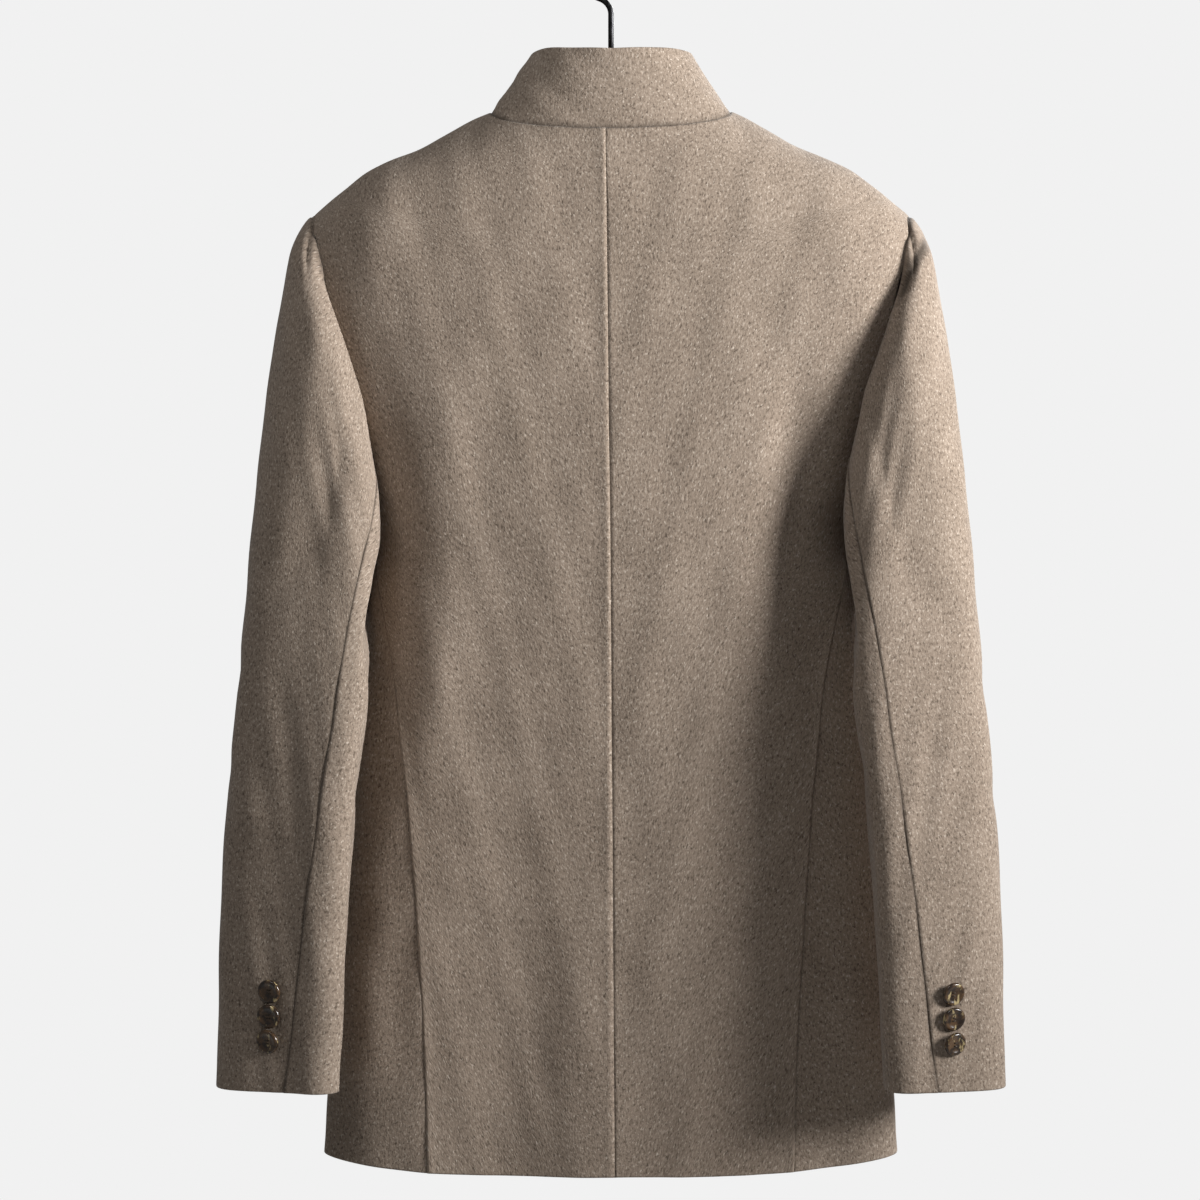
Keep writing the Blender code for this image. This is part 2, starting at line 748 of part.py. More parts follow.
def button_profile(radius: float) -> list[tuple[float, float]]:
    """Return a button's half outline, from the middle of its dished face round to its back."""
    thickness = radius * BUTTON_THICKNESS_SHARE
    return [(radius * row.reach, thickness * row.height) for row in BUTTON_OUTLINE]


def add_button(name: str, radius: float, panel: bpy.types.Object, spot: Spot) -> bpy.types.Object:
    """Turn a button about its own axis and seat it on a panel, just clear of the cloth."""
    point, normal = spot
    outline = bpy.data.meshes.new(name)
    profile = [(x, 0.0, z) for x, z in button_profile(radius)]
    outline.from_pydata(profile, [(index, index + 1) for index in range(len(profile) - 1)], [])
    button = add_part(name, outline, HORN)
    screw = button.modifiers.new("turned", "SCREW")
    screw.steps = BUTTON_STEPS
    screw.render_steps = BUTTON_STEPS
    screw.use_merge_vertices = True
    screw.merge_threshold = MERGE_DISTANCE
    button.rotation_mode = "QUATERNION"
    button.rotation_quaternion = normal.to_track_quat("Z", "Y")
    button.location = point + normal * (seat_height(panel, spot, radius) + SEAM_GAP)
    return button


def seat_height(panel: bpy.types.Object, spot: Spot, radius: float) -> float:
    """Return how far the panel stands proud of a spot's own plane, under a button."""
    point, normal = spot
    corners = [vertex.co for vertex in panel.data.vertices]
    faces = [polygon.vertices for polygon in panel.data.polygons]
    tree = BVHTree.FromPolygons(corners, faces)
    across = normal.orthogonal().normalized()
    upward = normal.cross(across)
    above = 2.0 * radius
    highest = -above
    for reach in evenly(0.0, radius, SEAT_RINGS):
        for angle in evenly(0.0, 360.0, BUTTON_STEPS):
            turn = math.radians(angle)
            offset = (across * math.cos(turn) + upward * math.sin(turn)) * reach
            hit = tree.ray_cast(point + offset + normal * above, -normal)
            if hit[0] is not None:
                highest = max(highest, above - hit[3])
    return highest


def add_tube(name: str, route: list[Vector], radius: float, finish: Finish) -> bpy.types.Object:
    """Make a round bar or wire along a route, with closed ends."""
    curve = bpy.data.curves.new(name, "CURVE")
    curve.dimensions = "3D"
    curve.bevel_depth = radius
    curve.bevel_resolution = TUBE_BEVEL_RESOLUTION
    curve.use_fill_caps = True
    spline = curve.splines.new("POLY")
    spline.points.add(len(route) - 1)
    for spline_point, place in zip(spline.points, route):
        spline_point.co = (*place, 1.0)
    return add_part(name, curve, finish)


def bar_side_route() -> list[Vector]:
    """Return the hanger bar's middle line under the left shoulder, from its end up to the neck."""
    depth = CLOTH_WALL + BAR_CLEARANCE + BAR_RADIUS
    route = []
    for drop in evenly(BAR_END_DROP, BAR_NECK_DROP, BAR_STEPS):
        point, normal = body_spot(90.0, drop)
        inward = Vector((normal.x, 0.0, normal.z)).normalized() * depth
        route.append(point - inward)
    return route


def bar_route() -> list[Vector]:
    """Return the hanger bar's middle line, arched between the shoulders."""
    side_route = bar_side_route()
    before, last = side_route[-2], side_route[-1]
    slope = (last.z - before.z) / (before.x - last.x)
    arch = []
    for share in evenly(1.0, 0.0, BAR_ARCH_STEPS)[1:]:
        rise = slope * last.x / 2.0 * (1.0 - share**2)
        arch.append(Vector((last.x * share, last.y, last.z + rise)))
    half = side_route + arch
    mirrored = [Vector((-place.x, place.y, place.z)) for place in reversed(half[:-1])]
    return half + mirrored


def arc(centre: Vector, radius: float, start: float, end: float, steps: int) -> list[Vector]:
    """Return points round an arc in the upright plane, between two angles from +X."""
    return [
        centre + Vector((math.cos(math.radians(angle)), 0.0, math.sin(math.radians(angle)))) * radius
        for angle in evenly(start, end, steps)
    ]


def hook_route(stem_foot: Vector) -> list[Vector]:
    """Return the hook's middle line: the stem, a bend aside, and the round hook over the top."""
    radius = HOOK_INNER_RADIUS + WIRE_RADIUS
    crown_centre = Vector((0.0, stem_foot.y, -HOOK_INNER_RADIUS))
    below = math.sqrt(radius**2 + 2.0 * radius * HOOK_BEND_RADIUS)
    bend_centre = crown_centre + Vector((HOOK_BEND_RADIUS, 0.0, -below))
    lean = math.degrees(math.atan2(below, HOOK_BEND_RADIUS))
    route = [stem_foot]
    route += arc(bend_centre, HOOK_BEND_RADIUS, 180.0, 180.0 - lean, HOOK_BEND_STEPS)
    route += arc(crown_centre, radius, -lean, HOOK_END_ANGLE, HOOK_STEPS)[1:]
    return route


def clear_scene() -> None:
    """Remove every object and add the jacket's own collection."""
    for stale in list(bpy.data.objects):
        bpy.data.objects.remove(stale, do_unlink=True)
    collection = bpy.data.collections.new(OBJECT_NAME)
    bpy.context.scene.collection.children.link(collection)


def add_sleeve(side: int, label: str) -> None:
    """Add one sleeve's two pieces and its cuff buttons."""
    half_gap = SEAM_GAP / 2.0
    upper = add_wall(f"upper_sleeve_{label}", drawn_in(upper_sleeve_grid(side), half_gap), CLOTH_WALL)
    add_wall(f"under_sleeve_{label}", drawn_in(under_sleeve_grid(side), half_gap), CLOTH_WALL)
    for number, row in enumerate(CUFF_BUTTONS, start=1):
        drop = row.left_drop if side > 0 else row.right_drop
        way = 1.0 + (drop - CAP_END_DROP) / (CUFF_DROP - CAP_END_DROP)
        spot = sleeve_spot(side, row.turn, way)
        add_button(f"cuff_button_{label}_{number}", CUFF_BUTTON_RADIUS, upper, spot)


def add_body(side: int, label: str) -> bpy.types.Object:
    """Add one side's back, side body and front, and return the front."""
    half_gap = SEAM_GAP / 2.0
    add_wall(f"back_{label}", drawn_in(back_grid(side), half_gap), CLOTH_WALL)
    add_wall(f"side_{label}", drawn_in(side_grid(side), half_gap), CLOTH_WALL)
    return add_wall(f"front_{label}", drawn_in(front_grid(side), half_gap), CLOTH_WALL)


def add_front_buttons(front: bpy.types.Object) -> None:
    """Add the row of buttons down the middle of the lapped front."""
    for number, drop in enumerate(FRONT_BUTTON_DROPS, start=1):
        point, normal = body_spot(180.0, drop)
        spot = (point + normal * LAP_LIFT, normal)
        add_button(f"front_button_{number}", FRONT_BUTTON_RADIUS, front, spot)


def add_hanger() -> None:
    """Add the hanger's bar and the hook that stands on its middle."""
    route = bar_route()
    add_tube("hanger_bar", route, BAR_RADIUS, DARK_WOOD)
    apex = max(route, key=lambda place: place.z)
    stem_foot = Vector((0.0, apex.y, apex.z + BAR_RADIUS + SEAM_GAP))
    add_tube("hanger_hook", hook_route(stem_foot), WIRE_RADIUS, BLACK_STEEL)


def main() -> None:
    """Build the jacket and its hanger."""
    clear_scene()
    fronts = {}
    for side, label in ((1, "left"), (-1, "right")):
        fronts[label] = add_body(side, label)
        add_sleeve(side, label)
    add_wall("collar", collar_grid(), COLLAR_WALL)
    add_front_buttons(fronts["left"])
    add_hanger()


main()
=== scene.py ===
"""The looks of a stand-collar wool jacket that hangs on a plain wooden hanger.

Metres, +Z up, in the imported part's own frame. The origin lies under the crown of the hanger's hook, the
jacket's front faces -Y and +X is the wearer's left. Heights on the cloth are drops below the two neck
points, where the shoulder seams meet the collar. A turn round the body is 0 at the centre back, +90
degrees at the wearer's left side and 180 at the centre front. A turn round a sleeve is 0 on its outer
side, 90 at its back and 180 at the underarm.
"""

import logging
import math
from collections.abc import Callable, Sequence
from dataclasses import dataclass
from enum import Enum
from typing import NamedTuple

import bmesh
import bpy
import numpy as np
from mathutils import Matrix, Vector


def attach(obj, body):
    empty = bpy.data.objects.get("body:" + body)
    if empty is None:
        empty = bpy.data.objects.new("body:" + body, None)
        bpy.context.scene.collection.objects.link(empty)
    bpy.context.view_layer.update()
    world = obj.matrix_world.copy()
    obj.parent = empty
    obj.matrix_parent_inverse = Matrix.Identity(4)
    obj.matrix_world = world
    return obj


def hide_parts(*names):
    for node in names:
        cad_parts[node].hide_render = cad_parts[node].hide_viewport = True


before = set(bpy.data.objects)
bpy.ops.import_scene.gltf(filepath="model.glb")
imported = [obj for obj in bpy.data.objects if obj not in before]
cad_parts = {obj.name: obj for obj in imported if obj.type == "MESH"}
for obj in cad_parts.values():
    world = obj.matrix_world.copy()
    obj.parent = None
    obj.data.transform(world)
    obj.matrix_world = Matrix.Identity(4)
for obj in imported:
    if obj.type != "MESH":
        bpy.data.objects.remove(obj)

log = logging.getLogger("jacket")

Array = np.ndarray
Colour = tuple[float, float, float]
Material = bpy.types.Material
Piece = bpy.types.Object
Shape = bmesh.types.BMesh
Socket = bpy.types.NodeSocket
SurfacePoint = Callable[[Array, Array], Array]

BODY_NAME = "root"

# Height of the two neck points
NECK_HEIGHT = -0.128

# Places beside an edge, in metres from it, where a cloth grid is closer, and its step elsewhere
EDGE_PLACES = (0.0, 0.0003, 0.0007, 0.0012, 0.0018, 0.0026, 0.0037, 0.0052, 0.0072)
GRID_STEP = 0.0031

# Small steps over which a surface's normal is measured
TURN_STEP = 0.4
DROP_STEP = 0.0012
WAY_STEP = 0.004
RISE_STEP = 0.01

# How often a front's rows are evened out, and how steeply they are held towards their outer ends
EVENING_PASSES = 600
EVENING_HOLD = 12.0

# The share of a crease over which it fades, at its ends and where the cloth turns away
CREASE_FADE = 0.30

# Drops between which a side welt comes up
SIDE_WELT_TOP = 0.28
SIDE_WELT_FULL = 0.38

# The share of a row at which the threads of a sleeve or of the collar run straight down
MIDDLE_GRAIN = 0.5

# The mesh attribute of painted shade that darkens the cloth along its seams and in shut folds
PAINTED_SEAM_SHADE = "seam_shade"

# A pattern's coordinates without a stretch
UNSTRETCHED = (1.0, 1.0, 1.0)

# Numbers of the sockets of a mix node that mixes colours
MIX_SHARE = 0
MIX_FIRST = 6
MIX_SECOND = 7
MIX_RESULT = 2


class Side(Enum):
    """The wearer's two sides, as signs of X."""

    LEFT = 1
    RIGHT = -1

    @property
    def label(self) -> str:
        """Return the word used in piece names."""
        return self.name.lower()


def hermite(t: Array, start: Array, start_pull: Array, end_pull: Array, end: Array) -> Array:
    """Return the point at t on the cubic between two points with their end directions.

    Args:
        t: How far along, from 0 to 1.
        start: The first point.
        start_pull: The direction and strength with which it leaves the first point.
        end_pull: The direction and strength with which it reaches the last point.
        end: The last point.

    Returns:
        The point.
    """
    return (
        start * (2 * t**3 - 3 * t**2 + 1)
        + start_pull * (t**3 - 2 * t**2 + t)
        + end_pull * (t**3 - t**2)
        + end * (3 * t**2 - 2 * t**3)
    )


def ramp(start: float, end: float, value: Array) -> Array:
    """Return a soft step from 0 at start to 1 at end."""
    t = np.clip((value - start) / (end - start), 0.0, 1.0)
    return t * t * (3.0 - 2.0 * t)


def blend(start: Array, end: Array, share: Array) -> Array:
    """Return the value that lies at a share of the way from start to end."""
    return start + (end - start) * share


def bell(distance: Array, spread: float) -> Array:
    """Return a soft hump that is 1 at no distance and fades over the spread."""
    return np.exp(-((distance / spread) ** 2))


def evened(rows: Array, hold: Array) -> Array:
    """Return rows of values evened out from row to row, except where they are held.

    Args:
        rows: The values, row by row.
        hold: How firmly the values of each column are held, from 0 to 1.

    Returns:
        The evened rows.
    """
    for _ in range(EVENING_PASSES):
        middle = (rows[:-2] + 2.0 * rows[1:-1] + rows[2:]) / 4.0
        rows = np.concatenate((rows[:1], blend(middle, rows[1:-1], hold), rows[-1:]))
    return rows


def signed_power(value: Array, power: Array) -> Array:
    """Return the power of a value's size, with the value's sign."""
    return np.sign(value) * np.abs(value) ** power


def unit(vectors: Array) -> Array:
    """Return the vectors at a length of one."""
    return vectors / np.linalg.norm(vectors, axis=-1, keepdims=True)


def facing(point: SurfacePoint, first: Array, second: Array, first_step: float, second_step: float) -> Array:
    """Return the unit normals of a surface from small steps along its two directions.

    Args:
        point: The surface as a function of two values.
        first: The first value.
        second: The second value.
        first_step: A small step of the first value.
        second_step: A small step of the second value.

    Returns:
        The normals.
    """
    along_first = point(first + first_step, second) - point(first - first_step, second)
    along_second = point(first, second + second_step) - point(first, second - second_step)
    return unit(np.cross(along_first, along_second))


def graded(length: float, at_start: bool, at_end: bool) -> Array:
    """Return shares from 0 to 1 along a length, closer together beside the ends that are asked for.

    Args:
        length: The real length of the stretch.
        at_start: Whether the places close up towards the start.
        at_end: Whether the places close up towards the end.

    Returns:
        The shares in rising order.
    """
    near = np.array(EDGE_PLACES)
    start = near if at_start else near[:1]
    end = near if at_end else near[:1]
    steps = max(round((length - start[-1] - end[-1]) / GRID_STEP), 2)
    middle = np.linspace(start[-1], length - end[-1], steps + 1)[1:-1]
    return np.concatenate((start, middle, length - end[::-1])) / length


def new_piece(name: str, shape: Shape, materials: Sequence[Material]) -> Piece:
    """Return a new object in the scene with a shape as its mesh, and free the shape.

    Args:
        name: The name of the mesh and the object.
        shape: The finished shape.
        materials: The materials, in the order of the faces' numbers.

    Returns:
        The object.
    """
    mesh = bpy.data.meshes.new(name)
    shape.to_mesh(mesh)
    shape.free()
    for material in materials:
        mesh.materials.append(material)
    piece = bpy.data.objects.new(name, mesh)
    bpy.context.scene.collection.objects.link(piece)
    return piece


class Track:
    """A smooth curve through one column of a table that never overshoots its rows."""

    def __init__(self, rows: Sequence[NamedTuple], column: str, along: str = "drop") -> None:
        """Keep the column's values and work out the slope at each row.

        Args:
            rows: The table's rows.
            column: The name of the column with the values.
            along: The name of the column with their places.
        """
        self.places = np.array([getattr(row, along) for row in rows])
        self.values = np.array([getattr(row, column) for row in rows])
        rates = np.diff(self.values) / np.diff(self.places)
        before, after = rates[:-1], rates[1:]
        onward = before * after > 0.0
        both = np.where(onward, before + after, 1.0)
        middle = np.where(onward, 2.0 * before * after / both, 0.0)
        self.slopes = np.concatenate((rates[:1], middle, rates[-1:]))

    def __call__(self, place: Array) -> Array:
        """Return the values at the places, held level past either end.

        Args:
            place: The places.

        Returns:
            The values.
        """
        place = np.clip(place, self.places[0], self.places[-1])
        index = np.clip(np.searchsorted(self.places, place) - 1, 0, len(self.places) - 2)
        span = self.places[index + 1] - self.places[index]
        t = (place - self.places[index]) / span
        start_pull = self.slopes[index] * span
        end_pull = self.slopes[index + 1] * span
        return hermite(t, self.values[index], start_pull, end_pull, self.values[index + 1])


class BodySection(NamedTuple):
    """A level ring round the body, at a drop below the neck points."""

    drop: float
    half_width: float
    widest_y: float
    back_y: float
    front_y: float
    roundness: float


class BodyFold(NamedTuple):
    """A soft ridge, or a trough where the rise is below zero, that grows down the back or front."""

    on_back: bool
    top_x: float
    top_drop: float
    low_x: float
    low_drop: float
    spread: float
    rise: float


class SeamRow(NamedTuple):
    """How far a lengthwise seam of the body lies from the middle, at a drop."""

    drop: float
    x: float


class SleeveSection(NamedTuple):
    """A level, squared oval round the sleeve; the lean turns its back outwards."""

    drop: float
    centre_x: float
    centre_y: float
    half_width: float
    half_depth: float
    lean: float


class SleeveLeave(NamedTuple):
    """The way the sleeve cap leaves the armhole, at a turn round it."""

    turn: float
    out: float
    back: float
    down: float
    pull: float
    settle: float


class SleeveSeamRow(NamedTuple):
    """The sleeve's back seam, as a turn round the sleeve at a drop."""

    drop: float
    turn: float


class CollarRow(NamedTuple):
    """The drop of the collar's upper edge, at a turn round the neck."""

    turn: float
    drop: float


class ButtonLean(NamedTuple):
    """How a button leans on its thread: the direction of its level line and its tilt, in degrees."""

    direction: float
    tilt: float


class CuffButtonRow(NamedTuple):
    """A cuff button's drop on each sleeve, its turn round the sleeve, and its lean on each sleeve."""

    left_drop: float
    right_drop: float
    turn: float
    left_lean: ButtonLean
    right_lean: ButtonLean


class RowEnds(NamedTuple):
    """The outer ends of a panel's rows, as turns from its middle and drops, and the drops in the middle."""

    spread: Array
    drop: Array
    middle_drop: Array


class RowStart(NamedTuple):
    """The drop in the middle of a panel, at a distance down its outer edge."""

    length: float
    drop: float


@dataclass(frozen=True)
class ClothGrid:
    """A cut piece's outside, as rows of points with their outward normals."""

    points: Array
    normals: Array

    def across(self) -> Array:
        """Return each point's distance along its row from the first column."""
        steps = np.linalg.norm(np.diff(self.points, axis=1), axis=-1)
        return np.pad(np.cumsum(steps, axis=1), ((0, 0), (1, 0)))

    def along(self) -> Array:
        """Return each point's distance down its column from the first row."""
        steps = np.linalg.norm(np.diff(self.points, axis=0), axis=-1)
        return np.pad(np.cumsum(steps, axis=0), ((1, 0), (0, 0)))

    def drop(self) -> Array:
        """Return each point's drop below the neck points."""
        return NECK_HEIGHT - self.points[..., 2]


@dataclass
class BodyForm:
    """The outside of the jacket's body as it hangs, with its armholes and long seams."""

    neck_height: float = NECK_HEIGHT
    hem_drop: float = 0.7705
    hem_side_rise: float = 0.0128
    hem_rise_start: float = 0.500
    back_neck_drop: float = 0.018
    front_neck_drop: float = 0.075
    neck_curve_end: float = 0.280
    row_end_power: float = 2.5
    tip_rise: float = 0.060
    tip_rise_end: float = 0.200
    armhole_centre_drop: float = 0.1994
    armhole_half_height: float = 0.1230
    armhole_back_turn: float = 34.5
    armhole_front_turn: float = 32.0
    armhole_upper_fullness: float = 0.25
    armhole_power: float = 0.75
    side_back_start: float = 150.0
    side_front_start: float = 210.0
    front_overlap: float = 0.022
    lap_lift: float = 0.0031
    lap_ramp_start: float = 0.085
    lap_ramp_end: float = 0.032
    seam_gap: float = 0.0003
    shoulder_length: float = 0.155
    armhole_length: float = 0.300
    seam_length: float = 0.450
    panel_width: float = 0.220
    side_width: float = 0.130
    sections: tuple[BodySection, ...] = (
        BodySection(0.0000, 0.0870, -0.0060, 0.0450, -0.0450, 1.90),
        BodySection(0.0050, 0.0987, -0.0065, 0.0465, -0.0460, 1.92),
        BodySection(0.0270, 0.1398, -0.0090, 0.0525, -0.0500, 2.06),
        BodySection(0.0484, 0.1790, -0.0105, 0.0570, -0.0545, 2.24),
        BodySection(0.0620, 0.1995, -0.0113, 0.0595, -0.0575, 2.34),
        BodySection(0.0764, 0.2185, -0.0122, 0.0615, -0.0605, 2.42),
        BodySection(0.0940, 0.2330, -0.0130, 0.0632, -0.0640, 2.50),
        BodySection(0.1160, 0.2400, -0.0139, 0.0645, -0.0680, 2.56),
        BodySection(0.1400, 0.2385, -0.0150, 0.0655, -0.0715, 2.60),
        BodySection(0.2000, 0.2160, -0.0172, 0.0660, -0.0785, 2.66),
        BodySection(0.2600, 0.1915, -0.0198, 0.0645, -0.0835, 2.70),
        BodySection(0.3220, 0.1735, -0.0230, 0.0615, -0.0870, 2.70),
        BodySection(0.3600, 0.1785, -0.0240, 0.0585, -0.0885, 2.74),
        BodySection(0.4300, 0.1872, -0.0190, 0.0530, -0.0905, 2.90),
        BodySection(0.5000, 0.1908, -0.0090, 0.0480, -0.0920, 3.04),
        BodySection(0.6000, 0.1965, -0.0020, 0.0440, -0.0940, 3.14),
        BodySection(0.7000, 0.2035, 0.0020, 0.0420, -0.0960, 3.16),
        BodySection(0.7705, 0.2085, 0.0040, 0.0415, -0.0970, 3.16),
    )
    folds: tuple[BodyFold, ...] = (
        BodyFold(True, 0.1180, 0.100, 0.1210, 0.300, 0.030, 0.0090),
        BodyFold(True, 0.1220, 0.360, 0.1250, 0.580, 0.030, -0.0060),
        BodyFold(True, 0.1560, 0.200, 0.1540, 0.380, 0.016, -0.0050),
        BodyFold(True, 0.1540, 0.380, 0.1500, 0.560, 0.018, 0.0050),
        BodyFold(True, 0.0600, 0.360, 0.0700, 0.740, 0.030, -0.0030),
        BodyFold(True, 0.0100, 0.360, 0.0200, 0.740, 0.032, 0.0040),
        BodyFold(True, -0.0450, 0.200, -0.0500, 0.560, 0.030, 0.0025),
        BodyFold(True, -0.1520, 0.220, -0.1540, 0.460, 0.018, -0.0050),
        BodyFold(False, 0.1000, 0.200, 0.1160, 0.740, 0.036, 0.0050),
        BodyFold(False, 0.0560, 0.300, 0.0620, 0.740, 0.026, -0.0035),
        BodyFold(False, -0.0520, 0.260, -0.0640, 0.740, 0.030, -0.0040),
        BodyFold(False, -0.1020, 0.180, -0.1120, 0.740, 0.034, 0.0050),
    )
    centre_back_seam: tuple[SeamRow, ...] = (
        SeamRow(0.018, 0.0040),
        SeamRow(0.360, 0.0005),
        SeamRow(0.771, -0.0025),
    )
    side_back_seam: tuple[SeamRow, ...] = (
        SeamRow(0.331, 0.1683),
        SeamRow(0.372, 0.1608),
        SeamRow(0.423, 0.1521),
        SeamRow(0.500, 0.1450),
        SeamRow(0.576, 0.1399),
        SeamRow(0.679, 0.1341),
        SeamRow(0.771, 0.1313),
    )
    side_front_seam: tuple[SeamRow, ...] = (
        SeamRow(0.331, 0.1650),
        SeamRow(0.421, 0.1570),
        SeamRow(0.570, 0.1520),
        SeamRow(0.771, 0.1500),
    )

    def __post_init__(self) -> None:
        """Make the smooth tracks through the tables."""
        self.half_width = Track(self.sections, "half_width")
        self.widest_y = Track(self.sections, "widest_y")
        self.back_y = Track(self.sections, "back_y")
        self.front_y = Track(self.sections, "front_y")
        self.roundness = Track(self.sections, "roundness")
        self.centre_back_x = Track(self.centre_back_seam, "x")
        self.side_back_x = self.side_seam(self.side_back_seam, self.side_back_start)
        self.side_front_x = self.side_seam(self.side_front_seam, self.side_front_start)

    def side_seam(self, rows: Sequence[SeamRow], start_turn: float) -> Track:
        """Return the x of a side seam by drop, started on the armhole.

        Args:
            rows: The seam's rows below the armhole.
            start_turn: The turn round the armhole at which the seam starts.

        Returns:
            The track.
        """
        turn, drop = self.armhole(np.array(start_turn))
        start = SeamRow(float(drop), float(self.point(turn, drop)[0]))
        return Track((start, *rows), "x")

    def fold_height(self, x: Array, drop: Array, on_back: bool) -> Array:
        """Return how far the folds lift the back or the front at each place.

        Args:
            x: The distances from the middle.
            drop: The drops.
            on_back: Whether the folds are the back's or the front's.

        Returns:
            The heights.
        """
        height = np.zeros_like(x)
        for fold in self.folds:
            if fold.on_back == on_back:
                growth = ramp(fold.top_drop, fold.low_drop, drop)
                share = (drop - fold.top_drop) / (fold.low_drop - fold.top_drop)
                middle = blend(fold.top_x, fold.low_x, share)
                height = height + fold.rise * growth * bell(x - middle, fold.spread)
        return height

    def point(self, turn: Array, drop: Array) -> Array:
        """Return the points on the outside of the body at turns in degrees and drops.

        Args:
            turn: The turns.
            drop: The drops.

        Returns:
            The points.
        """
        turn, drop = np.broadcast_arrays(turn, drop)
        sine = np.sin(np.radians(turn))
        cosine = np.cos(np.radians(turn))
        power = 2.0 / self.roundness(drop)
        x = self.half_width(drop) * signed_power(sine, power)
        back = self.back_y(drop) + self.fold_height(x, drop, True)
        front = self.front_y(drop) - self.fold_height(x, drop, False)
        y = blend(self.widest_y(drop), np.where(cosine >= 0.0, back, front), np.abs(cosine) ** power)
        rise = self.hem_side_rise * sine**2 * ramp(self.hem_rise_start, self.hem_drop, drop)
        return np.stack((x, y, self.neck_height - drop + rise), axis=-1)

    def turn_at(self, x: Array, drop: Array) -> Array:
        """Return the turn from the centre back at which the body reaches out to x."""
        share = np.minimum(np.abs(x) / self.half_width(drop), 1.0)
        return np.sign(x) * np.degrees(np.arcsin(share ** (self.roundness(drop) / 2.0)))

    def grid(self, turn: Array, drop: Array) -> ClothGrid:
        """Return the body's points and normals at turns and drops."""
        return ClothGrid(self.point(turn, drop), facing(self.point, turn, drop, TURN_STEP, DROP_STEP))

    def armhole(self, turn: Array) -> tuple[Array, Array]:
        """Return the turns round the body and the drops of places on the armhole's loop.

        Args:
            turn: The turns round the armhole.

        Returns:
            The turns round the body, and the drops.
        """
        angle = np.radians(turn)
        drop = self.armhole_centre_drop - self.armhole_half_height * np.cos(angle)
        reach = signed_power(np.sin(angle), self.armhole_power)
        reach = reach * (1.0 + self.armhole_upper_fullness * np.cos(angle))
        reach = reach * np.where(turn <= 180.0, self.armhole_back_turn, self.armhole_front_turn)
        return 90.0 - reach, drop

    def loop_turn(self, place: Array) -> Array:
        """Return the turn at an even place round the armhole: 0 at the shoulder, 2 at the underarm.

        Args:
            place: The even places.

        Returns:
            The turns round the armhole.
        """
        power = 1.0 / self.armhole_power
        low = 180.0 + 90.0 * signed_power(place - 2.0, power)
        return np.where(place <= 1.0, 90.0 * signed_power(place, power), low)

    def loop_place(self, turn: Array) -> Array:
        """Return the even place round the armhole at a turn from -90 to 270."""
        low = 2.0 + signed_power((turn - 180.0) / 90.0, self.armhole_power)
        return np.where(turn <= 90.0, signed_power(turn / 90.0, self.armhole_power), low)

    def side_back_turn(self, drop: Array) -> Array:
        """Return the turn of the seam between the back and the side."""
        return self.turn_at(self.side_back_x(drop), drop)

    def side_front_turn(self, drop: Array) -> Array:
        """Return the turn of the seam between the side and the front."""
        return 180.0 - self.turn_at(self.side_front_x(drop), drop)

    def row_ends(self, on_back: bool) -> RowEnds:
        """Return a panel's rows, which end on the shoulder seam, then the armhole, then the side seam.

        Args:
            on_back: Whether the rows are a back's or a front's.

        Returns:
            The rows' ends as columns.
        """
        tip_drop = float(self.armhole(np.array(0.0))[1])
        shoulder = tip_drop * graded(self.shoulder_length, True, False)
        start = self.side_back_start if on_back else 360.0 - self.side_front_start
        end_place = self.loop_place(np.array(start))
        loop = self.loop_turn(end_place * graded(self.armhole_length, False, False)[1:])
        loop_turns, loop_drops = self.armhole(loop if on_back else 360.0 - loop)
        seam_drops = blend(loop_drops[-1], self.hem_drop, graded(self.seam_length, False, True)[1:])
        seam_turns = self.side_back_turn(seam_drops) if on_back else self.side_front_turn(seam_drops)
        turns = np.concatenate((np.full_like(shoulder, 90.0), loop_turns, seam_turns))
        drops = np.concatenate((shoulder, loop_drops, seam_drops))
        steps = np.linalg.norm(np.diff(self.point(turns, drops), axis=0), axis=-1)
        lengths = np.concatenate((np.zeros(1), np.cumsum(steps)))
        neck_drop = self.back_neck_drop if on_back else self.front_neck_drop
        tip, underarm = len(shoulder) - 1, len(shoulder) + len(loop_turns) - 1
        starts = (
            RowStart(0.0, neck_drop),
            RowStart(lengths[tip], tip_drop + neck_drop * (1.0 - tip_drop / self.neck_curve_end)),
            RowStart(lengths[underarm], drops[underarm]),
            RowStart(lengths[-1], self.hem_drop),
        )
        middle_drops = Track(starts, "drop", "length")(lengths)
        spread = turns if on_back else 180.0 - turns
        return RowEnds(spread[:, None], drops[:, None], middle_drops[:, None])

    def row_place(self, ends: RowEnds, neck_drop: float, share: Array) -> tuple[Array, Array]:
        """Return turns from a panel's middle and drops, at shares of the way out along its rows.

        The first row is the round neckline. The next ones straighten down to the shoulder tip, and rise
        a little before their outer ends, so that they meet the armhole at an open angle.

        Args:
            ends: The rows' ends.
            neck_drop: The neckline's drop in the middle.
            share: The shares along a row.

        Returns:
            The turns and the drops.
        """
        tip_drop = self.armhole(np.array(0.0))[1]
        settled = ramp(0.0, tip_drop, ends.drop)
        inward = 1.0 - share**2
        neck_x = self.half_width(np.array(0.0)) * np.sin(np.radians(90.0 * share))
        neck_turn = self.turn_at(neck_x, neck_drop * inward)
        sag = (ends.middle_drop - ends.drop) * inward ** blend(1.0, self.row_end_power, settled)
        nearness = settled * (1.0 - ramp(tip_drop, self.tip_rise_end, ends.drop))
        rise = self.tip_rise * nearness * share**2 * (1.0 - np.abs(share))
        return blend(neck_turn, ends.spread * share, settled), ends.drop + sag - rise

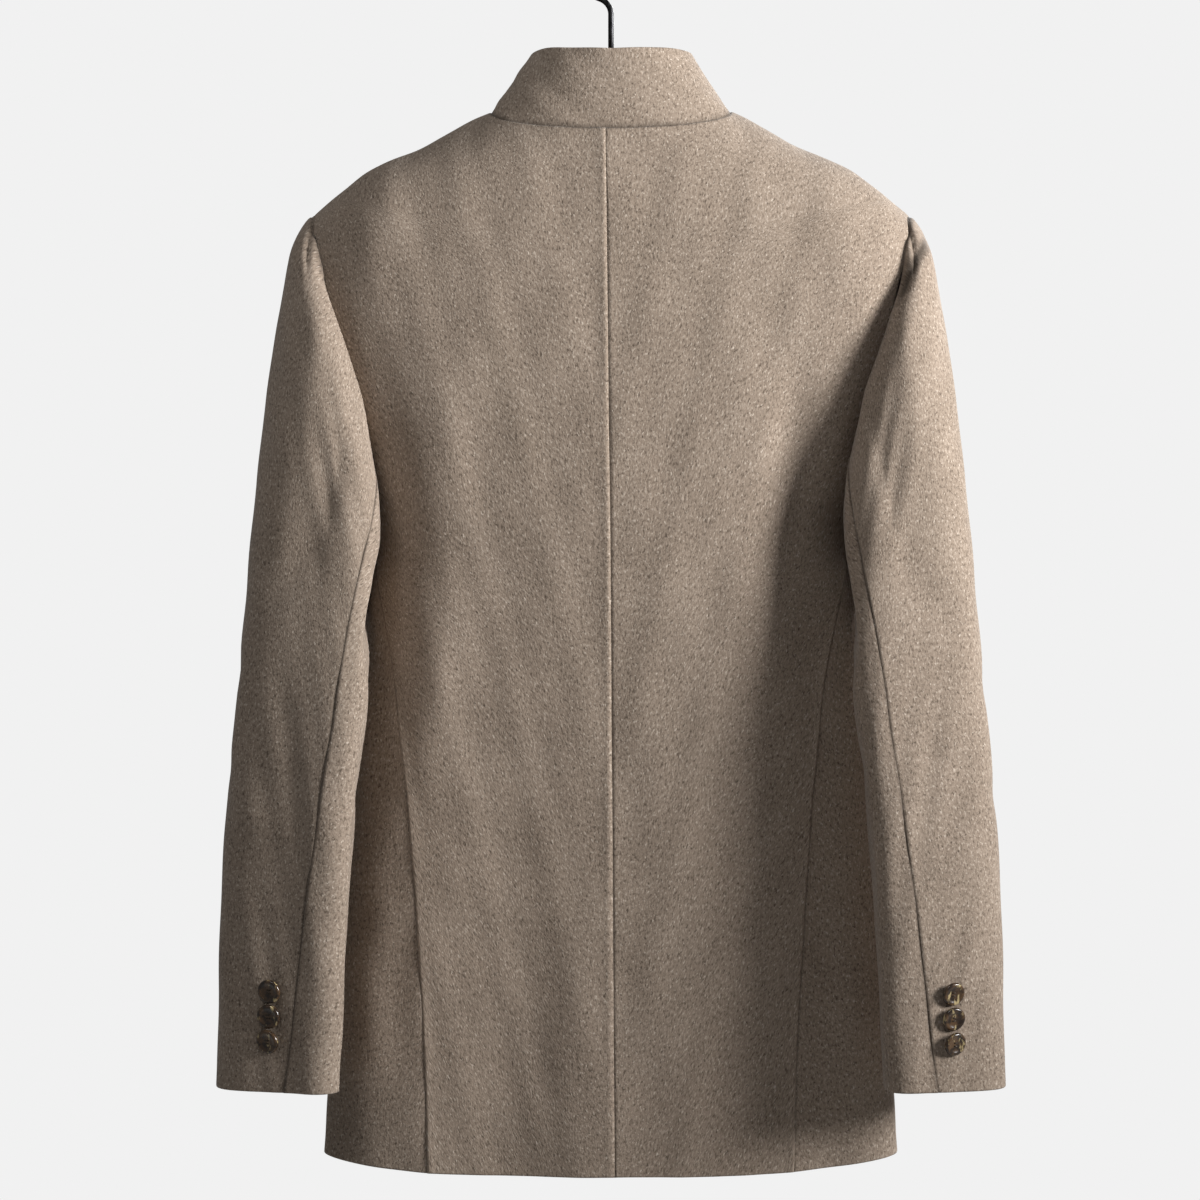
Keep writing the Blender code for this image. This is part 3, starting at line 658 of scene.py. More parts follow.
    def back_place(self, side: Side, ends: RowEnds, share: Array) -> tuple[Array, Array]:
        """Return the body turns and drops at shares of the way along a back's rows.

        Args:
            side: The back's side.
            ends: The rows' ends.
            share: The shares along a row.

        Returns:
            The turns and the drops.
        """
        turn, drop = self.row_place(ends, self.back_neck_drop, share)
        lean = self.turn_at(self.centre_back_x(drop), drop) * (1.0 - share)
        return side.value * turn + lean, drop

    def back_grid(self, side: Side) -> ClothGrid:
        """Return a back's rows, each from the centre back seam outwards."""
        share = graded(self.panel_width, True, True)[None, :]
        return self.grid(*self.back_place(side, self.row_ends(True), share))

    def front_grid(self, side: Side) -> ClothGrid:
        """Return a front's rows, each from its lapped edge outwards; the left front lies on the right.

        Args:
            side: The front's side.

        Returns:
            The rows.
        """
        share = graded(self.panel_width, False, True)[None, :]
        turn, drop = self.row_place(self.row_ends(False), self.front_neck_drop, share)
        hold = share**EVENING_HOLD
        turn, drop = evened(turn, hold), evened(drop, hold)
        reach = self.front_overlap * (1.0 - graded(self.front_overlap, True, False)[None, :-1])
        lap_drop = np.broadcast_to(drop[:, :1], (len(drop), reach.shape[1]))
        turn = np.concatenate((-self.turn_at(reach, lap_drop), turn), axis=1)
        drop = np.concatenate((lap_drop, drop), axis=1)
        grid = self.grid(side.value * (180.0 - turn), drop)
        if side is Side.RIGHT:
            return grid
        lift = self.lap_lift * ramp(self.lap_ramp_start, self.lap_ramp_end, grid.points[..., :1])
        return ClothGrid(grid.points + grid.normals * lift, grid.normals)

    def side_grid(self, side: Side) -> ClothGrid:
        """Return a side body's rows, each from the side back seam to the side front seam.

        Args:
            side: The side body's side.

        Returns:
            The rows.
        """
        start = self.loop_place(np.array(self.side_back_start))
        end = self.loop_place(np.array(self.side_front_start))
        loop = self.loop_turn(blend(start, end, graded(self.side_width, True, True)))
        top_turn, top_drop = self.armhole(loop)
        top_back = self.side_back_turn(top_drop)
        share = (top_turn - top_back) / (self.side_front_turn(top_drop) - top_back)
        drop = blend(top_drop[None, :], self.hem_drop, graded(self.seam_length, True, True)[:, None])
        turn = blend(self.side_back_turn(drop), self.side_front_turn(drop), share[None, :])
        return self.grid(side.value * turn, drop)

    def neckline(self, turn: Array) -> Array:
        """Return the points of the neckline at turns round the neck.

        Args:
            turn: The turns round the neck.

        Returns:
            The points.
        """
        sign = np.where(turn >= 0.0, 1.0, -1.0)
        spread, edge_drop = np.array(90.0), np.array(0.0)
        share = np.minimum(np.abs(turn) / 90.0, 1.0)
        back_ends = RowEnds(spread, edge_drop, np.array(self.back_neck_drop))
        back_turn, back_drop = self.row_place(back_ends, self.back_neck_drop, share)
        lean = self.turn_at(self.centre_back_x(back_drop), back_drop) * (1.0 - share)
        front_share = np.clip((180.0 - np.abs(turn)) / 90.0, 0.0, 1.0)
        front_ends = RowEnds(spread, edge_drop, np.array(self.front_neck_drop))
        front_turn, front_drop = self.row_place(front_ends, self.front_neck_drop, front_share)
        back = self.point(sign * back_turn + lean, back_drop)
        front = self.point(sign * (180.0 - front_turn), front_drop)
        return np.where((np.abs(turn) <= 90.0)[..., None], back, front)


@dataclass
class SleeveForm:
    """The outside of one hanging sleeve, from its cap on the armhole to its cuff."""

    body: BodyForm
    side: Side
    cap_end_drop: float = 0.430
    cuff_drop: float = 0.701
    front_seam: float = 270.0
    roundness: float = 3.8
    even_drop: float = 0.600
    turn_samples: int = 7201
    armhole_gap: float = 0.0010
    cap_row_power: float = 1.8
    cap_length: float = 0.260
    forearm_length: float = 0.371
    upper_width: float = 0.230
    under_width: float = 0.190
    even_way: float = 0.6
    sections: tuple[SleeveSection, ...] = (
        SleeveSection(0.430, 0.2198, 0.0590, 0.0475, 0.0330, 14.0),
        SleeveSection(0.503, 0.2272, 0.0620, 0.0462, 0.0325, 14.0),
        SleeveSection(0.576, 0.2321, 0.0650, 0.0454, 0.0320, 14.0),
        SleeveSection(0.630, 0.2342, 0.0660, 0.0449, 0.0320, 14.0),
        SleeveSection(0.700, 0.2363, 0.0670, 0.0434, 0.0310, 14.0),
    )
    leaves: tuple[SleeveLeave, ...] = (
        SleeveLeave(0.0, 0.74, 0.00, 0.67, 0.30, 1.0),
        SleeveLeave(90.0, -0.34, 0.92, 0.12, 0.75, 1.2),
        SleeveLeave(125.0, -0.42, 0.82, 0.35, 0.85, 1.2),
        SleeveLeave(152.0, 0.38, 0.78, 0.50, 0.70, 1.0),
        SleeveLeave(180.0, 0.64, 0.52, 0.56, 0.66, 1.0),
        SleeveLeave(270.0, 0.42, -0.10, 0.90, 0.40, 1.0),
        SleeveLeave(360.0, 0.74, 0.00, 0.67, 0.30, 1.0),
    )
    back_seam: tuple[SleeveSeamRow, ...] = (
        SleeveSeamRow(0.200, 112.0),
        SleeveSeamRow(0.430, 109.0),
        SleeveSeamRow(0.503, 105.5),
        SleeveSeamRow(0.576, 100.0),
        SleeveSeamRow(0.630, 96.2),
        SleeveSeamRow(0.700, 92.1),
    )

    def __post_init__(self) -> None:
        """Make the smooth tracks through the tables."""
        self.section = {column: Track(self.sections, column) for column in SleeveSection._fields[1:]}
        self.leave = {column: Track(self.leaves, column, "turn") for column in SleeveLeave._fields[1:]}
        self.back_seam_at = Track(self.back_seam, "turn")
        self.turns = np.linspace(self.front_seam - 360.0, 360.0, self.turn_samples)
        loop = self.oval_point(self.turns, np.array(self.even_drop))
        self.lengths = np.pad(np.cumsum(np.linalg.norm(np.diff(loop, axis=0), axis=-1)), (1, 0))

    def oval_point(self, turn: Array, drop: Array) -> Array:
        """Return the points on the outside of the sleeve, below its cap.

        Args:
            turn: The turns round the sleeve.
            drop: The drops.

        Returns:
            The points.
        """
        turn, drop = np.broadcast_arrays(turn, drop)
        sine = np.sin(np.radians(turn))
        cosine = np.cos(np.radians(turn))
        lean = np.tan(np.radians(self.section["lean"](drop)))
        reach = self.section["half_width"](drop) * signed_power(cosine, 2.0 / self.roundness)
        depth = self.section["half_depth"](drop) * signed_power(sine, 2.0 / self.roundness)
        x = self.section["centre_x"](drop) + reach
        y = self.section["centre_y"](drop) - reach * lean + depth
        return np.stack((self.side.value * x, y, self.body.neck_height - drop), axis=-1)

    def cap_point(self, turn: Array, share: Array) -> Array:
        """Return the points on the cap, at shares of the way from the armhole to the full oval.

        Args:
            turn: The turns round the sleeve.
            share: The shares down the cap.

        Returns:
            The points.
        """
        turn, share = np.broadcast_arrays(turn, share)
        around = np.mod(turn, 360.0)
        body_turn, drop = self.body.armhole(around)
        sign = self.side.value
        out, back, down = (self.leave[column](around) for column in ("out", "back", "down"))
        leave = unit(np.stack((sign * out, back, -down), axis=-1))
        start = self.body.point(sign * body_turn, drop) + leave * self.armhole_gap
        end = self.oval_point(around, np.array(self.cap_end_drop))
        length = np.linalg.norm(end - start, axis=-1, keepdims=True)
        end_rate = (self.oval_point(around, np.array(self.cap_end_drop + DROP_STEP)) - end) / DROP_STEP
        pull = self.leave["pull"](around)[..., None]
        settle = self.leave["settle"](around)[..., None]
        return hermite(share[..., None], start, leave * pull * length, end_rate * settle * length, end)

    def point(self, turn: Array, way: Array) -> Array:
        """Return the points on the sleeve; the way is 0 to 1 down the cap and 1 to 2 down to the cuff.

        Args:
            turn: The turns round the sleeve.
            way: The ways down it.

        Returns:
            The points.
        """
        turn, way = np.broadcast_arrays(turn, way)
        cap = self.cap_point(turn, np.minimum(way, 1.0))
        drop = blend(self.cap_end_drop, self.cuff_drop, np.maximum(way - 1.0, 0.0))
        return np.where((way <= 1.0)[..., None], cap, self.oval_point(np.mod(turn, 360.0), drop))

    def grid(self, turn: Array, way: Array) -> ClothGrid:
        """Return the sleeve's points and outward normals.

        Args:
            turn: The turns round the sleeve.
            way: The ways down it.

        Returns:
            The points and normals.
        """
        turn, way = np.broadcast_arrays(turn, way)
        inside_way = np.maximum(way, 2.0 * WAY_STEP)
        normals = facing(self.point, turn, inside_way, TURN_STEP, WAY_STEP)
        return ClothGrid(self.point(turn, way), normals * -self.side.value)

    def way_at(self, drop: float) -> float:
        """Return the way down the sleeve at a drop below its cap."""
        return 1.0 + (drop - self.cap_end_drop) / (self.cuff_drop - self.cap_end_drop)

    def ways(self) -> Array:
        """Return the rows down the sleeve as a column, closest where the cap leaves the armhole."""
        cap = graded(self.cap_length, False, False) ** self.cap_row_power
        return np.concatenate((cap, 1.0 + graded(self.forearm_length, False, True)[1:]))[:, None]

    def back_seam_turn(self, way: Array) -> Array:
        """Return the turn of the sleeve's back seam at a way down the sleeve.

        Args:
            way: The ways down the sleeve.

        Returns:
            The turns.
        """
        drop = blend(self.cap_end_drop, self.cuff_drop, np.maximum(way - 1.0, 0.0))
        on_cap = blend(self.back_seam[0].turn, self.back_seam_at(np.array(self.cap_end_drop)), way)
        return np.where(way > 1.0, self.back_seam_at(drop), on_cap)

    def columns(self, start: Array, end: Array, share: Array, way: Array) -> Array:
        """Return turns across a piece, evenly set on the armhole and then round the sleeve.

        Args:
            start: The turn of each row's first border.
            end: The turn of each row's last border.
            share: The shares across a row.
            way: Each row's way down the sleeve.

        Returns:
            The turns.
        """
        on_loop = self.body.loop_turn(blend(self.body.loop_place(start), self.body.loop_place(end), share))
        first, last = (np.interp(turn, self.turns, self.lengths) for turn in (start, end))
        round_sleeve = np.interp(blend(first, last, share), self.lengths, self.turns)
        return blend(on_loop, round_sleeve, ramp(0.0, self.even_way, way))

    def upper_grid(self) -> ClothGrid:
        """Return the upper sleeve's rows, from its front seam over the outer side to its back seam.

        Returns:
            The rows.
        """
        way = self.ways()
        start = np.full_like(way, self.front_seam - 360.0)
        share = graded(self.upper_width, True, True)[None, :]
        return self.grid(self.columns(start, self.back_seam_turn(way), share, way), way)

    def under_grid(self) -> ClothGrid:
        """Return the under sleeve's rows, from its back seam under the arm to its front seam.

        Returns:
            The rows.
        """
        way = self.ways()
        end = np.full_like(way, self.front_seam)
        share = graded(self.under_width, True, True)[None, :]
        return self.grid(self.columns(self.back_seam_turn(way), end, share, way), way)


@dataclass
class CollarForm:
    """The outside of the stand collar, from the neckline up to its free edge."""

    body: BodyForm
    top_half_width: float = 0.0585
    top_middle_y: float = -0.0120
    top_back_y: float = 0.0360
    top_front_y: float = -0.0750
    round_length: float = 0.430
    height: float = 0.053
    tuck_share: float = 0.06
    top: tuple[CollarRow, ...] = (
        CollarRow(0.0, -0.0410),
        CollarRow(60.0, -0.0436),
        CollarRow(90.0, -0.0420),
        CollarRow(135.0, -0.0050),
        CollarRow(180.0, 0.0300),
    )

    def __post_init__(self) -> None:
        """Make the smooth track of the upper edge."""
        self.top_drop = Track(self.top, "drop", "turn")

    def point(self, turn: Array, rise: Array) -> Array:
        """Return the points on the outside of the collar, at shares of the way up from the neckline.

        Args:
            turn: The turns round the neck.
            rise: The shares of the way up.

        Returns:
            The points.
        """
        turn, rise = np.broadcast_arrays(turn, rise)
        base = self.body.neckline(turn) + np.array((0.0, 0.0, self.body.seam_gap))
        sine = np.sin(np.radians(turn))
        cosine = np.cos(np.radians(turn))
        far_y = np.where(cosine >= 0.0, self.top_back_y, self.top_front_y)
        top_y = blend(self.top_middle_y, far_y, np.abs(cosine))
        top_z = self.body.neck_height - self.top_drop(np.abs(turn))
        top = np.stack((self.top_half_width * sine, top_y, top_z), axis=-1)
        return blend(base, top, rise[..., None])

    def grid(self) -> ClothGrid:
        """Return the collar's rows from its free edge down to the neckline, from right to left.

        Returns:
            The rows.
        """
        end = 180.0 - math.degrees(self.body.seam_gap / self.top_half_width)
        turn = blend(-end, end, graded(self.round_length, True, True))[None, :]
        rise = blend(1.0, -self.tuck_share, graded(self.height, True, True)[:, None])
        normals = -facing(self.point, turn, rise, TURN_STEP / 2.0, RISE_STEP)
        return ClothGrid(self.point(turn, rise), normals)


@dataclass(frozen=True)
class EdgeShape:
    """The relief of the cloth beside a border of a cut piece.

    The ridge lies over the turned-in cloth of the seam, the groove is the line where the pieces meet, the
    closing is the width over which the edge rounds off, and the lap carries the edge over the seam's gap.
    The painted shade darkens the cloth's colour in the line itself, in place of the shadow that falls into
    the seam.
    """

    ridge: float
    ridge_spread: float
    groove: float
    groove_spread: float
    closing: float
    lap: float = 0.0
    shade: float = 0.0
    shade_spread: float = 0.0010


class Edge(Enum):
    """The ways a border of a cut piece is finished, some with painted shade along their line."""

    # Each shade value is painted shade: it darkens the cloth's colour along the seam's line, in place of the
    # shadow that falls into it
    WELT = EdgeShape(0.00080, 0.0055, 0.0, 0.0010, 0.0022, lap=0.0006)
    SIDE_WELT = EdgeShape(0.00100, 0.0050, 0.0, 0.0010, 0.0016, lap=0.0004)
    UNDER_WELT = EdgeShape(0.0, 0.0030, 0.0002, 0.0010, 0.0003, lap=0.0003, shade=0.35)
    FLAT_SEAM = EdgeShape(
        0.00015, 0.0035, 0.00045, 0.0012, 0.0003, lap=0.0005, shade=0.60, shade_spread=0.0015
    )
    ARMHOLE = EdgeShape(
        0.0, 0.0030, 0.0005, 0.0014, 0.0006, lap=0.0024, shade=0.70, shade_spread=0.0028
    )
    SOFT_ARMHOLE = EdgeShape(
        0.0, 0.0030, 0.0004, 0.0014, 0.0006, lap=0.0024, shade=0.25, shade_spread=0.0020
    )
    NECK_SEAM = EdgeShape(0.00030, 0.0050, 0.0008, 0.0011, 0.0008, shade=0.85, shade_spread=0.0015)
    COLLAR_FOOT = EdgeShape(0.0, 0.0050, 0.0006, 0.0040, 0.0008, shade=0.95, shade_spread=0.0042)
    TURNED_EDGE = EdgeShape(0.00035, 0.0100, 0.0, 0.0010, 0.0014)
    LAPPED_EDGE = EdgeShape(0.00045, 0.0060, 0.0, 0.0010, 0.0016, shade=0.55, shade_spread=0.0013)


class Facing(Enum):
    """The way that a creased stretch of cloth faces, as an outward direction and its level axis."""

    BACK = ((0.0, 1.0, 0.0), 0)
    FRONT = ((0.0, -1.0, 0.0), 0)
    LEFT = ((1.0, 0.0, 0.0), 1)
    RIGHT = ((-1.0, 0.0, 0.0), 1)


class Crease(NamedTuple):
    """A soft ridge, or a trough where the rise is below zero, between two places on a cut piece.

    A place is a distance along the facing's level axis and a drop. The bow is how far the line's middle
    stands aside, the spread is half its width, and the painted shade darkens the colour of a fold that shuts
    on itself, in place of the shadow inside it.
    """

    facing: Facing
    start: tuple[float, float]
    end: tuple[float, float]
    bow: float
    spread: float
    rise: float
    shade: float = 0.0


class Wave(NamedTuple):
    """One slow unevenness of the hung cloth: its length across and along, its phase and its height."""

    across: float
    along: float
    phase: float
    rise: float


BODY_CREASES = (
    Crease(Facing.BACK, (0.172, -0.06), (0.170, 0.330), 0.000, 0.026, 0.0040),
    Crease(Facing.BACK, (-0.172, -0.06), (-0.170, 0.330), 0.000, 0.026, 0.0035),
    Crease(Facing.BACK, (0.141, 0.140), (0.147, 0.560), 0.003, 0.016, 0.0030),
    Crease(Facing.BACK, (0.097, 0.140), (0.104, 0.560), 0.002, 0.020, -0.0014),
    Crease(Facing.BACK, (0.166, 0.400), (0.174, 0.980), 0.000, 0.026, 0.0045),
    Crease(Facing.BACK, (-0.134, 0.150), (-0.140, 0.470), -0.004, 0.017, -0.0034),
    Crease(Facing.BACK, (-0.092, 0.130), (-0.098, 0.500), -0.003, 0.022, 0.0016),
    Crease(Facing.BACK, (0.052, 0.600), (0.043, 0.950), 0.002, 0.013, -0.0009),
    Crease(Facing.BACK, (-0.022, 0.300), (-0.030, 0.720), 0.003, 0.015, 0.0008),
    Crease(Facing.LEFT, (0.000, 0.300), (0.010, 0.500), 0.000, 0.040, 0.0040),
    Crease(Facing.RIGHT, (0.000, 0.300), (0.010, 0.500), 0.000, 0.040, 0.0040),
    Crease(Facing.FRONT, (0.155, 0.126), (0.232, 0.062), 0.000, 0.018, 0.0026),
    Crease(Facing.FRONT, (-0.155, 0.126), (-0.232, 0.062), 0.000, 0.018, 0.0026),
    Crease(Facing.FRONT, (0.150, 0.130), (0.080, 0.250), 0.006, 0.011, -0.0015),
    Crease(Facing.FRONT, (-0.148, 0.120), (-0.072, 0.262), -0.005, 0.012, -0.0017),
    Crease(Facing.FRONT, (0.120, 0.330), (0.062, 0.400), 0.004, 0.010, -0.0010),
    Crease(Facing.FRONT, (-0.090, 0.420), (-0.098, 0.760), 0.004, 0.018, 0.0014),
    Crease(Facing.FRONT, (0.078, 0.480), (0.092, 0.820), -0.003, 0.020, -0.0013),
)
SLEEVE_CREASES = (
    Crease(Facing.BACK, (0.210, 0.060), (0.168, 0.380), 0.000, 0.018, 0.0048),
    Crease(Facing.LEFT, (-0.075, 0.104), (0.075, 0.104), 0.000, 0.022, 0.0030),
    Crease(Facing.RIGHT, (-0.075, 0.104), (0.075, 0.104), 0.000, 0.022, 0.0030),
    Crease(Facing.BACK, (0.198, 0.360), (0.206, 0.980), 0.000, 0.017, 0.0050),
    # The fold at the right sleeve's head: a trough whose colour is darkened by painted shade, in place of
    # the shadow inside it
    Crease(Facing.BACK, (-0.2330, 0.084), (-0.1990, 0.152), 0.000, 0.0036, -0.0022, 0.85),
    Crease(Facing.BACK, (0.205, 0.300), (0.262, 0.380), 0.006, 0.011, -0.0011),
    Crease(Facing.BACK, (0.212, 0.430), (0.275, 0.462), -0.005, 0.010, -0.0009),
    Crease(Facing.BACK, (0.215, 0.520), (0.268, 0.500), 0.004, 0.012, 0.0008),
    Crease(Facing.BACK, (-0.198, 0.330), (-0.258, 0.395), 0.005, 0.012, -0.0012),
    Crease(Facing.BACK, (-0.210, 0.455), (-0.272, 0.478), -0.004, 0.010, -0.0008),
    Crease(Facing.BACK, (-0.222, 0.555), (-0.270, 0.530), 0.004, 0.011, 0.0007),
    Crease(Facing.LEFT, (0.000, 0.380), (0.085, 0.410), 0.006, 0.011, -0.0013),
    Crease(Facing.LEFT, (0.010, 0.470), (0.100, 0.485), -0.004, 0.012, -0.0010),
    Crease(Facing.RIGHT, (0.005, 0.395), (0.090, 0.420), 0.005, 0.012, -0.0012),
    Crease(Facing.RIGHT, (0.015, 0.500), (0.095, 0.485), 0.004, 0.011, -0.0010),
    Crease(Facing.FRONT, (0.205, 0.360), (0.262, 0.345), 0.004, 0.010, -0.0013),
    Crease(Facing.FRONT, (0.208, 0.430), (0.258, 0.440), -0.003, 0.011, -0.0010),
    Crease(Facing.FRONT, (-0.206, 0.372), (-0.260, 0.352), -0.004, 0.011, -0.0012),
    Crease(Facing.FRONT, (-0.210, 0.450), (-0.262, 0.458), 0.003, 0.010, -0.0010),
)
CLOTH_WAVES = (
    Wave(0.061, 0.230, 0.4, 0.00030),
    Wave(0.043, -0.170, 2.1, 0.00022),
    Wave(-0.110, 0.074, 4.0, 0.00026),
    Wave(0.031, 0.120, 1.2, 0.00014),
)


@dataclass(frozen=True)
class Cut:
    """The flat size of a cut piece before it is sewn: width, length and area."""

    width: float
    length: float
    area: float


class Borders(NamedTuple):
    """The finish of a cut piece's four borders."""

    first_row: Edge
    last_row: Edge
    first_column: Edge
    last_column: Edge


@dataclass
class CutPiece:
    """One cut piece of the jacket as a thin closed shell on its solid's form.

    The grain is the share of a row at which the cloth's threads run straight down the piece; on an upright
    piece they are measured by height.
    """

    node: str
    form: ClothGrid
    borders: Borders
    cut: Cut
    creases: tuple[Crease, ...] = ()
    grain: float = 0.0
    upright: bool = False
    wall: float = 0.0024
    rim_share: float = 0.92

    def border_distances(self) -> tuple[Array, Array, Array, Array]:
        """Return each point's distance from the first and last row and the first and last column."""
        along, across = self.form.along(), self.form.across()
        return along, along[-1:] - along, across, across[:, -1:] - across

    def crease_share(self, crease: Crease) -> Array:
        """Return how far a crease takes hold of each point, from 0 to 1.

        Args:
            crease: The crease.

        Returns:
            The shares.
        """
        direction, axis = crease.facing.value
        start, end = np.array(crease.start), np.array(crease.end)
        place = np.stack((self.form.points[..., axis], self.form.drop()), axis=-1) - start
        length = np.linalg.norm(end - start)
        way = (end - start) / length
        share = place @ way / length
        aside = place @ np.array((-way[1], way[0])) - crease.bow * 4.0 * share * (1.0 - share)
        fade = ramp(0.0, CREASE_FADE, share) * (1.0 - ramp(1.0 - CREASE_FADE, 1.0, share))
        turned = ramp(0.0, CREASE_FADE, self.form.normals @ np.array(direction))
        return bell(aside, crease.spread) * fade * turned

    def crease_relief(self) -> Array:
        """Return how far the creases and the hang's unevenness move each point outwards.

        Returns:
            The heights.
        """
        relief = np.zeros(self.form.points.shape[:2])
        for crease in self.creases:
            relief += crease.rise * self.crease_share(crease)
        across, along = self.form.across(), self.form.along()
        for wave in CLOTH_WAVES:
            angle = 2.0 * math.pi * (across / wave.across + along / wave.along) + wave.phase
            relief += wave.rise * np.sin(angle)
        return relief

    def skins(self) -> tuple[Array, Array]:
        """Return the outer and inner points of the shell, with its seams, edges and creases.

        Returns:
            The outer points and the inner points.
        """
        creased = self.crease_relief()
        outer = creased.copy()
        inner = creased - self.wall
        for edge, distance in zip(self.borders, self.border_distances()):
            shape = edge.value
            stands = self.side_welt_share() if edge is Edge.SIDE_WELT else 1.0
            outer += shape.ridge * bell(distance, shape.ridge_spread) * stands
            outer -= shape.groove * bell(distance, shape.groove_spread)
        for edge, distance in zip(self.borders, self.border_distances()):
            near = 1.0 - np.clip(distance / edge.value.closing, 0.0, 1.0)
            closed = self.rim_share * (1.0 - np.sqrt(1.0 - near**2))
            middle = (outer + inner) / 2.0
            outer, inner = blend(outer, middle, closed), blend(inner, middle, closed)
        normals, points = self.form.normals, self.lapped()
        return points + normals * outer[..., None], points + normals * inner[..., None]

    def side_welt_share(self) -> Array:
        """Return how far a side welt stands at each point: not at all along the shoulder and armhole."""
        return ramp(SIDE_WELT_TOP, SIDE_WELT_FULL, self.form.drop())

    def lapped(self) -> Array:
        """Return the form's points, with the borders carried over their seams' gaps.

        Returns:
            The points.
        """
        points = self.form.points.copy()
        points[0] += unit(points[0] - points[1]) * self.borders.first_row.value.lap
        points[:, 0] += unit(points[:, 0] - points[:, 1]) * self.borders.first_column.value.lap
        points[:, -1] += unit(points[:, -1] - points[:, -2]) * self.borders.last_column.value.lap
        return points

    def seam_shade(self) -> Array:
        """Return how far each point's colour is darkened by painted shade along the seams and in shut folds.

        Returns:
            The shades, from 0 to 1.
        """
        unshaded = np.ones(self.form.points.shape[:2])
        for edge, distance in zip(self.borders, self.border_distances()):
            unshaded *= 1.0 - edge.value.shade * bell(distance, edge.value.shade_spread)
        for crease in self.creases:
            unshaded *= 1.0 - crease.shade * self.crease_share(crease)
        return 1.0 - unshaded

    def build(self) -> Piece:
        """Make the shell: a grid laid on the inner skin and extruded to the outer one.

        Returns:
            The new object, with a map of the cloth's own metres.
        """
        rows, columns = self.form.points.shape[:2]
        outer, inner = (skin.reshape(-1, 3) for skin in self.skins())
        cloth = bmesh.new()
        place = cloth.verts.layers.int.new("place")
        bmesh.ops.create_grid(cloth, x_segments=columns - 1, y_segments=rows - 1, size=0.5)
        cloth.verts.ensure_lookup_table()
        for index, vertex in enumerate(cloth.verts):
            vertex.co = inner[index]
            vertex[place] = index
        extruded = bmesh.ops.extrude_face_region(cloth, geom=cloth.faces[:])
        for vertex in extruded["geom"]:
            if isinstance(vertex, bmesh.types.BMVert):
                vertex.co = outer[vertex[place]]
        bmesh.ops.recalc_face_normals(cloth, faces=cloth.faces[:])
        piece = new_piece(f"wool_{self.node}", cloth, ())
        piece.data.shade_smooth()
        self.lay_out(piece.data)
        return piece

    def lay_out(self, mesh: bpy.types.Mesh) -> None:
        """Give the mesh a flat map in metres, across the piece and down it.

        Args:
            mesh: The shell's mesh, whose vertices know their places in the grid.
        """
        across = self.form.across()
        along = self.form.drop() if self.upright else self.form.along()
        sideways = math.copysign(1.0, np.mean(self.form.points[:, -1, 0] - self.form.points[:, 0, 0]))
        across = (across - across[:, -1:] * self.grain) * sideways
        flat = np.stack((across, -along), axis=-1).reshape(-1, 2)
        places = np.zeros(len(mesh.vertices), np.int32)
        mesh.attributes["place"].data.foreach_get("value", places)
        corners = np.zeros(len(mesh.loops), np.int32)
        mesh.loops.foreach_get("vertex_index", corners)
        layer = mesh.uv_layers.new(name="cloth")
        layer.data.foreach_set("uv", flat[places[corners]].astype(np.float32).ravel())
        # Painted shade along the seams and in shut folds, kept on the mesh so that the wool darkens its
        # colour there
        shade = mesh.attributes.new(PAINTED_SEAM_SHADE, "FLOAT", "POINT")
        shade.data.foreach_set("value", self.seam_shade().ravel()[places].astype(np.float32))
        mesh.attributes.remove(mesh.attributes["place"])

    def dress(self, piece: Piece, material: Material) -> None:
        """Give the shell its cloth, attach it to the body and hide the part that it replaces.

        Args:
            piece: The shell.
            material: The cloth.
        """
        piece.data.materials.append(material)
        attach(piece, BODY_NAME)
        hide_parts(self.node)


class Pattern(NamedTuple):
    """A soft random pattern: its cells in a metre, its levels of detail and how strong the fine ones are."""

    scale: float
    detail: float
    roughness: float = 0.6


class Span(NamedTuple):
    """The two ends of a stretch of values."""

    low: float
    high: float


